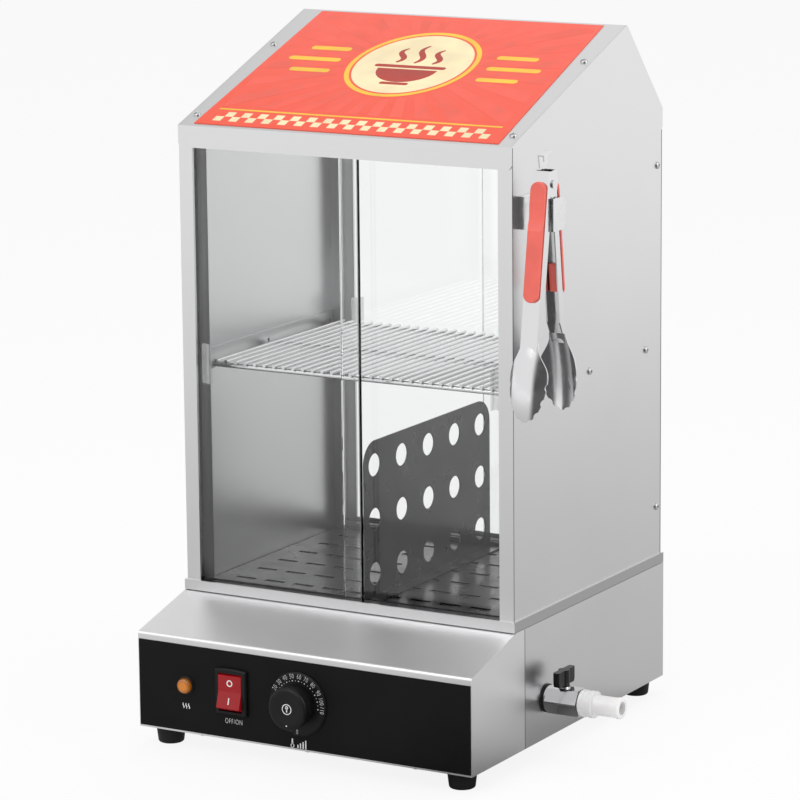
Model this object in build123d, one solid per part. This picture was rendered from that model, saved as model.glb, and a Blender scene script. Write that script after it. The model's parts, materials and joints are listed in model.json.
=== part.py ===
from build123d import *
import math
import os

# Hot dog steamer: a water-bath base with a control box, and a glazed steel cabinet that lifts off it.
# +X is to the right, +Y to the back and +Z up, in millimetres. Every piece is drawn in the cabinet's
# own frame (x = 0 at its middle, y = 0 at its front, z = 0 under the base) and shifted when saved.

# ---- cabinet -------------------------------------------------------------------------------
sheet = 1.0                  # stainless sheet
fit_gap = 0.3                # clearance between parts that lift or slide
cabinet_width = 300.0
cabinet_depth = 257.5
header_height = 17.9         # front face above the door opening
front_height = 379.4         # cabinet floor to the fold of the front roof
ridge_rise = 73.0            # fold to ridge
ridge_setback = 194.3        # front face to ridge
rear_drop = 72.1             # ridge down to the rear fold
ring_height = 8.2
ring_wall = 1.8
post_face = 12.3
post_depth = 23.6
post_lip = 2.4
seam_gap = 0.1               # between sheets that are screwed together
roof_flange = 14.0
roof_flange_margin = 3.0     # flange ends to the folds
header_corner = 4.0
post_top = 12.0              # post above the bottom of the header
sign_thick = 0.5
sign_front_half = 137.0
sign_rear_half = 130.5
sign_margin = 3.0
roof_screw_inset = 7.5
roof_screw_low = 17.5
roof_screw_high = 142.7
rear_roof_screw = 60.0
panel_screw_inset = 8.5      # rear edge to the screws of the rear posts
panel_screw_heights = (49.1, 333.2)

# ---- sliding doors -------------------------------------------------------------------------
glass = 4.5
door_overlap = 22.8
track_wall = 1.8
track_gap = 0.3              # glass to track rib, each side
track_base = 1.5
lower_rib = 4.5
upper_rib = 11.0
glass_in_upper = 5.5
track_pitch = 12.0           # outer glass to inner glass
pull_width = 8.6
pull_height = 32.0
pull_plate = 1.5
pull_reach = 5.6
pull_edge = 14.0             # door edge to the pull
pull_centre = 187.5          # above the cabinet floor

# ---- base ----------------------------------------------------------------------------------
base_height = 97.2
wrap_front = 15.0            # seam between the control box and the wrap
floor_flange = 10.0
box_reach = 71.5             # control box in front of the cabinet
box_face = 78.2              # height of the control face
bend_radius = 2.6
overlay = 0.5
overlay_foot = 1.6
overlay_height = 70.9
overlay_margin = 0.8
vent_count = 7
vent_slot = 3.0
vent_length = 40.0
vent_pitch = 9.0

# ---- feet and screws -----------------------------------------------------------------------
foot_height = 14.6
foot_top = 24.0
foot_bottom = 20.5
foot_round = 2.0
foot_bore = 10.0
foot_web = 4.0
foot_x = 133.6
foot_front = -54.0
foot_rear_inset = 12.5       # rear of the cabinet to the rear feet
screw_head = 6.0
screw_dome = 1.8
screw_shank = 3.0
screw_hole = 3.3
screw_length = 5.0
lip_screws = (-95.3, 2.6, 99.7)
lip_screw_inset = 5.5

# ---- controls ------------------------------------------------------------------------------
lamp_x = -107.0
lamp_z = 39.5
lamp_bezel = 15.4
lamp_flange = 1.2
lamp_glass = 12.4
lamp_dome = 3.8
lamp_barrel = 11.4
lamp_depth = 28.0
lamp_stem = 8.0
lamp_stem_length = 6.0
lamp_seat = 1.4
blade_width = 4.8            # push-on terminals
blade_thick = 0.8
blade_length = 8.0
switch_x = -63.5
switch_z = 39.5
bezel_width = 29.0
bezel_height = 36.4
bezel_crown = 1.2
bezel_proud = 3.4
switch_body_width = 25.6
switch_body_height = 33.6
switch_body_depth = 24.0
rocker_width = 21.0
rocker_arc = 15.2            # radius of the rocker's ends about its pivot
rocker_side_gap = 0.35
rocker_pivot_inset = 2.0     # pivot behind the overlay
rocker_front = 6.0           # pivot to the middle of the rocker's face
rocker_back = 5.0
rocker_throw = 16.0          # degrees between the two positions
rocker_pin = 3.0
rocker_pin_length = 1.2
rocker_pin_gap = 0.1
dial_x = -2.5
dial_z = 38.0
dial_plate = 52.0
dial_plate_depth = 2.5
dial_bevel = 1.4
knob_width = 34.6
knob_waist = 31.0
knob_gap = 0.5
knob_front = 19.0            # knob face in front of the control face
knob_round = 3.0
knob_dish = 1.0
knob_dish_width = 24.0
knob_socket = 13.0
knob_crown = 4.0             # knob face to the end of the spindle
knob_wall = 2.4
shaft = 6.0
shaft_clear = 1.0
shaft_flat = 1.3
shaft_gap = 0.08
shaft_inside = 20.0
thermostat_width = 42.0
thermostat_height = 30.0
thermostat_depth = 26.0
thermostat_bush = 12.0
thermostat_bush_length = 6.0

# ---- water bath ----------------------------------------------------------------------------
tank_side_inset = 12.0       # cabinet wall to the tank's wall
tank_front = 30.0
tank_rear_inset = 29.5
tank_ledge = 1.0             # tank to the opening it hangs in
tank_floor = 24.0            # underside of the tank above the underside of the base
tank_rim = 5.0
tank_corner = 3.0
element_tube = 8.0
element_z = 46.0
element_bend = 18.0
element_legs = 4
element_leg_gap = 4.0
element_front_inset = 28.0   # tank walls to the element's bends
element_rear_inset = 13.0
element_stub = 9.0
element_flange = 18.0
element_flange_depth = 2.0
bulb = 6.0
bulb_length = 60.0
bulb_z = 60.0
capillary = 1.6
cutout_width = 16.0
cutout_depth = 9.0
cutout_x = 55.0
terminal_x = 100.0
terminal_width = 44.0
terminal_height = 18.0
terminal_depth = 16.0
terminal_ways = 4
gland_x = -112.0
gland_z = 24.0
gland_flange = 20.0
gland_flange_depth = 4.0
gland_neck = 14.0
gland_reach = 11.0
gland_bore = 7.0
gland_thread = 15.0
gland_tail = 9.0

# ---- drain valve ---------------------------------------------------------------------------
drain_inset = 22.0           # tank's front wall to the drain
drain_z = 32.5
gasket = 22.7
gasket_depth = 1.7
valve_flats = 21.5
valve_length = 29.0
valve_collar = 1.6
valve_tail = 14.0
drain_bore = 8.0
valve_ball_width = 12.8
ball_bore = 7.0
valve_ball_gap = 0.35
valve_seat_inset = 13.3      # base's wall seal to the ball's centre
stem = 5.0
stem_gap = 0.1
boss_width = 10.0
boss_rise = 1.0
handle_span = 28.4
handle_thick = 5.4
handle_height = 12.0
handle_hub = 9.0
handle_lift = 1.4
handle_notch = 5.0
nipple = 13.0
nipple_length = 8.0
connector_nut = 21.6
connector_nut_length = 11.5
connector_groove = 0.8
connector_gap = 1.0
connector_spigot = 16.0
connector_lip = 17.2
connector_lip_length = 3.0
connector_length = 34.6
connector_bore = 10.5

# ---- tray, partition and rack --------------------------------------------------------------
tray_gap = 0.8               # tray to the posts and side panels
tray_skirt = 6.0
tray_slots_across = 10
tray_slots_deep = 6
tray_slot_length = 18.0
tray_slot_width = 5.0
partition_x = 3.0
partition_top = 130.3        # above the cabinet floor
partition_corner = 19.0
partition_foot = 12.0
partition_hole = 18.5
partition_pitch = 43.7
partition_rows = 3
partition_row_pitch = 44.5
partition_columns = 5
partition_first_row = 21.5
rack_wire = 3.0
rack_rail = 4.0
rack_pitch = 9.0
rack_wires = 31
rack_level = 184.2           # screws of the rack brackets above the cabinet floor
rack_bracket_leg = 12.0
rack_bracket_height = 14.0
rack_bracket_inset = 1.4
rack_screw_inset = 5.0       # posts to the end screws of a bracket
rack_end_gap = 6.0
rack_weld = 0.4

# ---- tong holder and tongs -----------------------------------------------------------------
holder_sheet = 1.2
holder_web_y = 10.2
holder_reach = 29.0
holder_drop = 39.0           # fold of the roof to the top of the holder
holder_height = 25.3
holder_lip = 19.7
holder_base = 30.0
holder_corner = 6.0
tong_x = 171.0
tong_pivot_y = 13.7
tong_pivot_rise = 10.7       # top of the holder to the rivet
tong_width = 14.2
tong_sheet = 1.0
tong_back = 8.5              # pivot to the outer face of each arm
tong_front_lean = 8.8
tong_rear_lean = 6.6
tong_arm_length = 128.0
tong_length = 182.0
tong_head = 9.5
tong_ear = 7.2
tong_ear_reach = 3.0         # the front arm's ears are longer than round by this, above and below
tong_throat = 11.0
tong_inner_top = -3.2
tong_inner_low = -0.6
tong_nest = 1.3              # the rear arm sits this far inside the front arm
tong_pin = 4.0
tong_pin_gap = 0.1
tong_pin_head = 6.4
tong_pin_head_depth = 1.1
tong_throat_end = 38.5       # rivet to where the flanges reach their full depth
tong_flange_end = 110.0
spoon_overlap = 8.0          # spoon's root up the arm
spoon_width = 32.0
spoon_oval = 34.0            # tip to its widest line
spoon_sag = 3.5              # dip from its middle to its ends
spoon_cup_radius = 22.5
spoon_bulge = 2.6
scallop = 8.4
scallop_out = 3.2            # edge of the spoon to the middle of a scallop
scallop_turns = (10, 30, 52, 74)   # below the widest line, in degrees about its middle
grip_width = 12.8
grip_thick = 3.4
grip_top = 1.2
grip_bottom = -90.7
grip_round = 1.6
grip_gap = 0.2
thumb_drop = 26.6            # grip's top to the thumb hollow
thumb_radius = 31.0
thumb_depth = 2.0
plug_foot = 4.0              # grip's bottom to the plug inside the rear arm
plug_length = 22.0
plug_width = 7.7
plug_thick = 2.0
plug_neck = 3.0
plug_neck_foot = 12.0
plug_neck_length = 8.0
tab_width = 12.6
tab_stem_front = 1.6
tab_stem_back = 3.2
tab_stem_rise = 12.0
tab_thick = 1.2
tab_rise = 22.5
tab_lean = 12.0
tab_slot = 2.6
tab_slot_length = 5.0
tab_lip = 5.0
tab_start = 2.35             # rivet centre to the tab's foot

# ---- levels and edges worked out from the sizes above ---------------------------------------
half = cabinet_width / 2
floor = base_height + fit_gap          # underside of the cabinet
fold_z = floor + front_height
ridge_z = fold_z + ridge_rise
rear_fold_z = ridge_z - rear_drop
header_z = fold_z - header_height
panel_inside = half - sheet
base_half = half + ring_wall
base_rear = cabinet_depth + ring_wall
ring_top = floor + ring_height
front_angle = math.degrees(math.atan2(ridge_rise, ridge_setback))
rear_angle = math.degrees(math.atan2(rear_drop, cabinet_depth - ridge_setback))
overlay_face = -box_reach - overlay
outer_glass_y = sheet + fit_gap + track_wall + track_gap
inner_glass_y = outer_glass_y + track_pitch
wall_inside = base_half - sheet
middle_y = cabinet_depth / 2
door_edge = panel_inside - sheet - 2 * track_gap
glass_foot = floor + track_base + fit_gap
glass_top = header_z + glass_in_upper
rim_top = base_height + sheet
tray_z = rim_top + fit_gap
tray_front = post_depth + tray_gap
tray_rear = cabinet_depth - tray_front
tank_half = half - tank_side_inset
tank_rear = cabinet_depth - tank_rear_inset
tank_opening = tank_half + tank_ledge
element_pitch = 2 * element_bend + element_leg_gap
element_front = tank_front + element_front_inset
element_rear = tank_rear - element_rear_inset
drain_x = base_half + gasket_depth
drain_y = tank_front + drain_inset
valve_end = drain_x + valve_length
valve_seat = drain_x + valve_seat_inset
stem_top = valve_flats / 2 + boss_rise + handle_lift + handle_height / 2
shaft_radius = shaft / 2
knob_tip = -box_reach - knob_front
pivot_y = overlay_face + rocker_pivot_inset
holder_top = fold_z - holder_drop
tong_pivot_level = holder_top + tong_pivot_rise
spoon_length = tong_length - tong_arm_length + spoon_overlap
spoon_long_radius = spoon_length ** 2 / (8 * spoon_sag)
foot_rear = cabinet_depth - foot_rear_inset
foot_places = [(x, y) for x in (-foot_x, foot_x) for y in (foot_front, foot_rear)]
rack_screws = (post_depth + rack_screw_inset, middle_y, cabinet_depth - post_depth - rack_screw_inset)
box_slope = math.atan2(base_height - box_face, box_reach)
bracket_z = floor + rack_level - rack_bracket_height / 2 + rack_bracket_inset

# planes on the outside of the roof slopes, their origins at the folds
front_roof_plane = Plane(origin=(0, 0, fold_z), x_dir=(1, 0, 0), z_dir=(0, -ridge_rise, ridge_setback))
rear_roof_plane = Plane(origin=(0, cabinet_depth, rear_fold_z), x_dir=(-1, 0, 0),
                        z_dir=(0, rear_drop, cabinet_depth - ridge_setback))

# the whole steamer is centred over its resting face: these are its outermost points
left_end = -base_half
right_end = valve_end + connector_gap + connector_length
front_end = -box_reach - knob_front
rear_end = base_rear + gland_flange_depth + gland_reach
centre = ((left_end + right_end) / 2, (front_end + rear_end) / 2)


# ---- small helpers -------------------------------------------------------------------------
def block(x0, x1, y0, y1, z0, z1):
    """A box between two corners."""
    return Pos((x0 + x1) / 2, (y0 + y1) / 2, (z0 + z1) / 2) * Box(x1 - x0, y1 - y0, z1 - z0)


def rod_x(x0, x1, y, z, radius):
    return Pos((x0 + x1) / 2, y, z) * Rot(0, 90, 0) * Cylinder(radius, x1 - x0)


def rod_y(x, y0, y1, z, radius):
    return Pos(x, (y0 + y1) / 2, z) * Rot(90, 0, 0) * Cylinder(radius, y1 - y0)


def rod_z(x, y, z0, z1, radius):
    return Pos(x, y, (z0 + z1) / 2) * Cylinder(radius, z1 - z0)


def side_profile(points, x0, x1):
    """A solid whose outline in the YZ plane is the closed polygon, from x0 to x1."""
    face = make_face(Polyline([(x0, y, z) for y, z in points], close=True).edges())
    return extrude(face, x1 - x0, dir=(1, 0, 0))


def front_profile(points, y0, y1):
    """A solid whose outline in the XZ plane is the closed polygon, from y0 to y1."""
    face = make_face(Polyline([(x, y0, z) for x, z in points], close=True).edges())
    return extrude(face, y1 - y0, dir=(0, 1, 0))


def pan_screw(length=screw_length):
    """A pan-head screw whose head sits on z = 0 and whose shank runs down."""
    head_radius = screw_head / 2
    head = Cylinder(head_radius, screw_dome, align=(Align.CENTER, Align.CENTER, Align.MIN))
    rim = head.edges().group_by(Axis.Z)[-1]
    head = chamfer(rim, screw_dome * 0.55, head_radius * 0.4)
    shank = Pos(0, 0, -length / 2) * Cylinder(screw_shank / 2, length)
    return head + shank


def half_turn(piece):
    """The same piece at the back of the cabinet, turned about its upright centre line."""
    return Pos(0, cabinet_depth, 0) * Rot(0, 0, 180) * piece


pieces = {}


def keep(name, *solids):
    """Store a node; identical fasteners or feet share one as separate solids."""
    pieces[name] = solids


# ---- base sheet metal ----------------------------------------------------------------------
def base_opening(z0, z1):
    """The opening in the top of the base that the tank hangs in."""
    return block(-tank_opening, tank_opening, wrap_front - 1, tank_rear + tank_ledge, z0, z1)


def base_wrap():
    """Sides and back of the base in one bent sheet, with a flange turned in above and below."""
    shell = block(-base_half, base_half, wrap_front, base_rear, 0, base_height)
    hollow = block(-wall_inside, wall_inside, wrap_front - 1, base_rear - sheet, -1, base_height - sheet)
    shell = shell - hollow - base_opening(0, base_height + 1)
    flange = block(-wall_inside, wall_inside, wrap_front, base_rear - sheet, sheet, 2 * sheet)
    inner = wall_inside - floor_flange
    flange -= block(-inner, inner, wrap_front - 1, base_rear - sheet - floor_flange, 0, 3 * sheet)
    return shell + flange


def control_box_outline(inset):
    """Side outline of the control box, drawn in by a sheet thickness for its inner face."""
    front = -box_reach + inset
    drop = inset / math.cos(box_slope)
    knee = (drop - inset) / math.tan(box_slope)
    fold = base_height - drop + front * math.tan(box_slope)
    back = wrap_front + inset
    return [(front, -inset), (front, fold), (knee, base_height - inset), (back, base_height - inset),
            (back, -inset)]


def soften_front_fold(solid, radius):
    front_edge = solid.edges().filter_by(Axis.X).group_by(Axis.Y)[0].sort_by(Axis.Z)[-1]
    return fillet(front_edge, radius)


def control_box():
    """Control face, sloping top and side cheeks in front of the cabinet."""
    outer = soften_front_fold(side_profile(control_box_outline(0), -base_half, base_half), bend_radius)
    inner = side_profile(control_box_outline(sheet), -wall_inside, wall_inside)
    inner = soften_front_fold(inner, bend_radius - sheet)
    shell = outer - inner
    flange = block(-wall_inside, wall_inside, sheet - box_reach, wrap_front, sheet, 2 * sheet)
    reach = wall_inside - floor_flange
    flange -= block(-reach, reach, sheet - box_reach + floor_flange, wrap_front + 1, 0, 3 * sheet)
    shelf = block(-tank_opening + seam_gap, tank_opening - seam_gap, wrap_front, tank_front - tank_ledge,
                  base_height - sheet, base_height)
    return shell + flange + shelf


def bottom_plate():
    """Screwed-on floor with cooling slots under the controls."""
    edge = wall_inside - seam_gap
    plate = block(-edge, edge, sheet - box_reach + seam_gap, base_rear - sheet - seam_gap, 0, sheet)
    for row in range(vent_count):
        x = (row - (vent_count - 1) / 2) * vent_pitch
        slot = Pos(x, -box_reach / 2, 0) * Rot(0, 0, 90) * SlotOverall(vent_length, vent_slot)
        plate -= extrude(slot, 2 * sheet)
    return plate


def control_panel():
    """Thin printed overlay on the control face."""
    edge = base_half - overlay_margin
    return block(-edge, edge, overlay_face, -box_reach, overlay_foot, overlay_foot + overlay_height)


def panel_openings():
    """Cut-outs that the lamp, the switch and the dial shaft share through the face and overlay."""
    y0, y1 = overlay_face - 1, sheet - box_reach + 1
    switch_half = switch_body_width / 2 + seam_gap
    switch_tall = switch_body_height / 2 + seam_gap
    return [rod_y(lamp_x, y0, y1, lamp_z, lamp_barrel / 2 + seam_gap),
            block(switch_x - switch_half, switch_x + switch_half, y0, y1,
                  switch_z - switch_tall, switch_z + switch_tall),
            rod_y(dial_x, y0 - dial_plate_depth, y1, dial_z, shaft_radius + shaft_clear)]


def lip_screw_places():
    rear = base_rear - lip_screw_inset
    return [(x, y) for y in (-box_reach + lip_screw_inset, rear) for x in lip_screws]


def foot():
    """Tapered rubber foot with a counterbore for its screw."""
    body = Pos(0, 0, -foot_height / 2) * Cone(foot_bottom / 2, foot_top / 2, foot_height)
    body = fillet(body.edges().group_by(Axis.Z)[0], foot_round)
    recess = rod_z(0, 0, -foot_height - 1, -foot_web, foot_bore / 2)
    return body - recess - rod_z(0, 0, -foot_height, 1, screw_hole / 2)


def base_pieces():
    wrap, box, plate, face = base_wrap(), control_box(), bottom_plate(), control_panel()
    for cutter in panel_openings():
        box -= cutter
        face -= cutter
    screws = []
    for x, y in lip_screw_places():
        hole = rod_z(x, y, -1, 3 * sheet, screw_hole / 2)
        plate -= hole
        box -= hole
        wrap -= hole
        screws.append(Pos(x, y, 0) * Rot(180, 0, 0) * pan_screw())
    for x, y in foot_places:
        plate -= rod_z(x, y, -1, 3 * sheet, screw_hole / 2)
        screws.append(Pos(x, y, -foot_web) * Rot(180, 0, 0) * pan_screw(foot_web + 3 * sheet))
    wrap -= rod_x(wall_inside - 1, base_half + 1, drain_y, drain_z, valve_tail / 2 + seam_gap)
    wrap -= rod_y(gland_x, base_rear - 2 * sheet, base_rear + 1, gland_z, gland_thread / 2 + seam_gap)
    keep("base_wrap", wrap)
    keep("control_box", box)
    keep("bottom_plate", plate)
    keep("control_panel", face)
    keep("base_screws", *screws)
    keep("rubber_feet", *[Pos(x, y, 0) * foot() for x, y in foot_places])


# ---- controls on the front -----------------------------------------------------------------
def turned(x, z, points):
    """A body turned about an axis along Y; each point is (radius, distance in front of the face)."""
    outline = Polyline([(r, -box_reach - out, 0) for r, out in points], close=True)
    return Pos(x, 0, z) * revolve(make_face(outline.edges()), Axis.Y)


def blade(x, y, z):
    """A push-on terminal that stands out to the back."""
    return block(x - blade_thick / 2, x + blade_thick / 2, y, y + blade_length,
                 z - blade_width / 2, z + blade_width / 2)


def lamp_body():
    """Pilot lamp holder: dark bezel, barrel through the panel and two blades behind."""
    bezel = rod_y(lamp_x, overlay_face - lamp_flange, overlay_face, lamp_z, lamp_bezel / 2)
    bezel = chamfer(bezel.edges().group_by(Axis.Y)[0], lamp_flange / 2)
    barrel = rod_y(lamp_x, overlay_face, overlay_face + lamp_depth, lamp_z, lamp_barrel / 2)
    socket = rod_y(lamp_x, overlay_face - 2 * lamp_flange, overlay_face + lamp_stem_length, lamp_z,
                   lamp_stem / 2)
    back = overlay_face + lamp_depth
    spread = lamp_barrel / 4
    blades = blade(lamp_x - spread, back, lamp_z) + blade(lamp_x + spread, back, lamp_z)
    return bezel + barrel - socket + blades


def lamp_lens():
    """Amber lens: a domed cap on a stem that pushes into the holder."""
    seat = overlay + lamp_flange
    rim, stem_radius = lamp_glass / 2, lamp_stem / 2 - seam_gap
    stem_end = overlay - lamp_stem_length + seam_gap
    front = seat + lamp_dome
    body = turned(lamp_x, lamp_z, [(0, stem_end), (stem_radius, stem_end), (stem_radius, seat),
                                   (rim, seat), (rim, front), (0, front)])
    return fillet(body.edges().group_by(Axis.Y)[0], lamp_dome - lamp_seat)


def switch_housing():
    """Black switch frame with a crowned top edge, its body, the rocker's pocket and four blades."""
    w, h = bezel_width / 2, bezel_height / 2
    foot_line = Polyline([(-w, overlay_face, h), (-w, overlay_face, -h), (w, overlay_face, -h),
                          (w, overlay_face, h)])
    crown = ThreePointArc((w, overlay_face, h), (0, overlay_face, h + bezel_crown), (-w, overlay_face, h))
    bezel = extrude(make_face(foot_line.edges() + crown.edges()), bezel_proud, dir=(0, -1, 0))
    bezel = chamfer(bezel.edges().group_by(Axis.Y)[0], bezel_proud * 0.3)
    back = overlay_face + switch_body_depth
    half_w, half_h = switch_body_width / 2, switch_body_height / 2
    body = block(-half_w, half_w, overlay_face, back, -half_h, half_h)
    pocket_w = rocker_width / 2 + rocker_side_gap
    pocket_h = rocker_arc + rocker_side_gap
    pocket_back = pivot_y + rocker_arc * math.sin(math.radians(rocker_throw / 2)) + rocker_back + 1
    housing = bezel + body - block(-pocket_w, pocket_w, overlay_face - 2 * bezel_proud, pocket_back,
                                   -pocket_h, pocket_h)
    pin_reach = pocket_w + rocker_pin_length
    housing -= rod_x(-pin_reach, pin_reach, pivot_y, 0, rocker_pin / 2 + rocker_pin_gap)
    for x in (-half_w / 2, half_w / 2):
        for z in (-half_h / 2, half_h / 2):
            housing += blade(x, back, z)
    return Pos(switch_x, 0, switch_z) * housing


def rocker():
    """Red rocker with two faces in a shallow V, round ends about its pins, lower end out (off)."""
    lean = math.tan(math.radians(rocker_throw / 2))
    w = rocker_width / 2
    tall = rocker_arc * 1.1
    outline = [(-rocker_front, 0), (-rocker_front - tall * lean, tall), (rocker_back, tall),
               (rocker_back, -tall), (-rocker_front - tall * lean, -tall)]
    cap = side_profile(outline, -w, w) & rod_x(-w, w, 0, 0, rocker_arc)
    pin_reach = w + rocker_side_gap + rocker_pin_length - rocker_pin_gap
    cap += rod_x(-pin_reach, pin_reach, 0, 0, rocker_pin / 2)
    return Pos(switch_x, pivot_y, switch_z) * Rot(-rocker_throw / 2, 0, 0) * cap


def dial_disc():
    """Fixed black scale disc with a bevelled edge."""
    rim = dial_plate / 2
    hole = shaft_radius + shaft_clear
    front = overlay + dial_plate_depth
    return turned(dial_x, dial_z, [(hole, overlay), (rim, overlay), (rim, front - dial_bevel),
                                   (rim - dial_bevel, front), (hole, front)])


def thermostat_body():
    """Thermostat behind the panel with the bush that its shaft turns in."""
    front = sheet - box_reach
    bush_front = front + thermostat_bush_length
    body = block(dial_x - thermostat_width / 2, dial_x + thermostat_width / 2, bush_front,
                 front + thermostat_depth, dial_z - thermostat_height / 2, dial_z + thermostat_height / 2)
    body += rod_y(dial_x, front, bush_front, dial_z, thermostat_bush / 2)
    body -= rod_y(dial_x, front - 1, front + shaft_inside + 1, dial_z, shaft_radius + shaft_gap)
    for x in (-thermostat_width / 3, thermostat_width / 3):
        body += blade(dial_x + x, front + thermostat_depth, dial_z)
    return body


def shaft_solid(radius):
    """The D-shaped spindle, from inside the knob to inside the thermostat."""
    tip = knob_tip + knob_crown
    rod = rod_y(dial_x, tip, sheet - box_reach + shaft_inside, dial_z, radius)
    flat_end = overlay_face - dial_plate_depth - knob_gap
    flat = block(dial_x - radius, dial_x + radius, tip - 1, flat_end, dial_z + radius - shaft_flat,
                 dial_z + 2 * radius)
    return rod - flat


def knob():
    """Dished round knob, hollow behind, with a hub that takes the D-shaped spindle."""
    back = overlay + dial_plate_depth + knob_gap
    rim, waist = knob_width / 2, knob_waist / 2
    body = turned(dial_x, dial_z, [(0, back), (waist, back), (rim, knob_front - 2 * knob_round),
                                   (rim, knob_front), (0, knob_front)])
    body = fillet(body.edges().group_by(Axis.Y)[0], knob_round)
    dish_radius = (knob_dish_width ** 2 / 4 + knob_dish ** 2) / (2 * knob_dish)
    body -= Pos(dial_x, knob_tip + knob_dish - dish_radius, dial_z) * Sphere(dish_radius)
    body -= turned(dial_x, dial_z, [(knob_socket / 2, back - 1), (waist - knob_wall, back - 1),
                                    (waist - knob_wall, knob_front - knob_crown),
                                    (knob_socket / 2, knob_front - knob_crown)])
    return body - shaft_solid(shaft_radius)


# ---- water bath ----------------------------------------------------------------------------
def rounded_plate(half_x, y0, y1, z0, z1, radius):
    outline = Pos(0, (y0 + y1) / 2, z0) * RectangleRounded(2 * half_x, y1 - y0, radius)
    return extrude(outline, z1 - z0)


def leg_places():
    return [(leg - (element_legs - 1) / 2) * element_pitch for leg in range(element_legs)]


def water_tank():
    """Drawn pan whose rim lies on the flanges of the base."""
    pan = rounded_plate(tank_half, tank_front, tank_rear, tank_floor, base_height, tank_corner)
    pan += rounded_plate(tank_half + tank_rim, tank_front - tank_rim, tank_rear + tank_rim,
                         base_height, rim_top, tank_corner)
    pan -= rounded_plate(tank_half - sheet, tank_front + sheet, tank_rear - sheet,
                         tank_floor + sheet, rim_top + 1, tank_corner - sheet)
    pan -= rod_x(tank_half - 2 * sheet, tank_half + 1, drain_y, drain_z, valve_tail / 2 + seam_gap)
    for x in (leg_places()[0], leg_places()[-1]):
        pan -= rod_y(x, tank_front - 1, tank_front + 2 * sheet, element_z, element_tube / 2 + seam_gap)
    return pan


def heating_element():
    """Tube bent into four legs across the tank, with a flange on each end at the front wall."""
    start = tank_front - element_stub
    points = []
    for index, x in enumerate(leg_places()):
        near, far = element_front, element_rear
        first, last = (near, far) if index % 2 == 0 else (far, near)
        points += [(x, first, element_z), (x, last, element_z)]
    points[0] = (points[0][0], start, element_z)
    points[-1] = (points[-1][0], start, element_z)
    path = FilletPolyline(points, radius=element_bend)
    section = Plane(origin=path @ 0, z_dir=path % 0) * Circle(element_tube / 2)
    tube = sweep(section, path=path)
    for x in (leg_places()[0], leg_places()[-1]):
        tube += rod_y(x, tank_front - element_flange_depth, tank_front, element_z, element_flange / 2)
    return tube


def sensor_bulb():
    """Thermostat bulb clipped to the tank's front wall, with its capillary tube."""
    bulb_y = tank_front - bulb / 2 - seam_gap
    start = bulb_z / 5
    bulb_body = rod_x(start, start + bulb_length, bulb_y, bulb_z, bulb / 2)
    body_rear = sheet - box_reach + thermostat_depth + capillary / 2
    path = FilletPolyline((dial_x, body_rear, dial_z + thermostat_height / 4), (dial_x, bulb_y, bulb_z), (start, bulb_y, bulb_z), radius=bulb)
    section = Plane(origin=path @ 0, z_dir=path % 0) * Circle(capillary / 2)
    return bulb_body + sweep(section, path=path)


def overheat_cutout():
    """Button thermostat against the underside of the tank."""
    y = (tank_front + tank_rear) / 2
    top = tank_floor
    disc = rod_z(cutout_x, y, top - cutout_depth, top, cutout_width / 2)
    return disc + blade(cutout_x - cutout_width / 4, y + cutout_width / 4, top - cutout_depth / 2)


def terminal_block():
    """Four-way screw terminal on the floor of the control box."""
    y = -box_reach / 2
    body = block(terminal_x - terminal_width / 2, terminal_x + terminal_width / 2,
                 y - terminal_depth / 2, y + terminal_depth / 2, sheet, sheet + terminal_height)
    pitch = terminal_width / terminal_ways
    for way in range(terminal_ways):
        x = terminal_x + (way - (terminal_ways - 1) / 2) * pitch
        body -= rod_z(x, y, sheet + terminal_height / 2, sheet + terminal_height + 1, pitch / 4)
    return body


def cord_gland():
    """Strain relief in the back of the base, with its lock nut inside."""
    outer = base_rear + gland_flange_depth
    body = rod_y(gland_x, base_rear, outer, gland_z, gland_flange / 2)
    nose = Pos(gland_x, outer + gland_reach / 2, gland_z) * Rot(-90, 0, 0) * Cone(
        gland_flange / 2 - 1, gland_neck / 2, gland_reach)
    body += nose
    body += rod_y(gland_x, base_rear - sheet - gland_tail, base_rear, gland_z, gland_thread / 2)
    inside = base_rear - sheet
    body += rod_y(gland_x, inside - gland_flange_depth, inside, gland_z, gland_flange / 2)
    return body - rod_y(gland_x, inside - gland_tail - 1, outer + gland_reach + 1, gland_z, gland_bore / 2)


# ---- drain valve ---------------------------------------------------------------------------
def on_drain(piece):
    return Pos(0, drain_y, drain_z) * piece


def drain_gasket():
    ring = rod_x(base_half, drain_x, 0, 0, gasket / 2) - rod_x(base_half - 1, drain_x + 1, 0, 0,
                                                               valve_tail / 2 + seam_gap)
    return on_drain(ring)


def valve_body():
    """Hexagonal valve with a collar, a tail into the tank, a stem boss and a nipple."""
    corner = valve_flats / math.sqrt(3)
    hexagon = [(corner * math.cos(math.radians(60 * k)), corner * math.sin(math.radians(60 * k)))
               for k in range(6)]
    body = side_profile(hexagon, drain_x + valve_collar, valve_end)
    body &= rod_x(drain_x, valve_end, 0, 0, corner * 0.97)
    body += rod_x(drain_x, drain_x + valve_collar, 0, 0, valve_flats / 2)
    body += rod_x(tank_half - 2 * sheet, drain_x, 0, 0, valve_tail / 2)
    body += rod_x(valve_end, valve_end + nipple_length, 0, 0, nipple / 2)
    body += rod_z(valve_seat, 0, 0, valve_flats / 2 + boss_rise, boss_width / 2)
    body -= rod_x(tank_half - 3 * sheet, valve_end + nipple_length + 1, 0, 0, drain_bore / 2)
    body -= Pos(valve_seat, 0, 0) * Sphere(valve_ball_width / 2 + valve_ball_gap)
    body -= rod_z(valve_seat, 0, 0, valve_flats / 2 + boss_rise + 1, stem / 2 + stem_gap)
    return on_drain(body)


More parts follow.
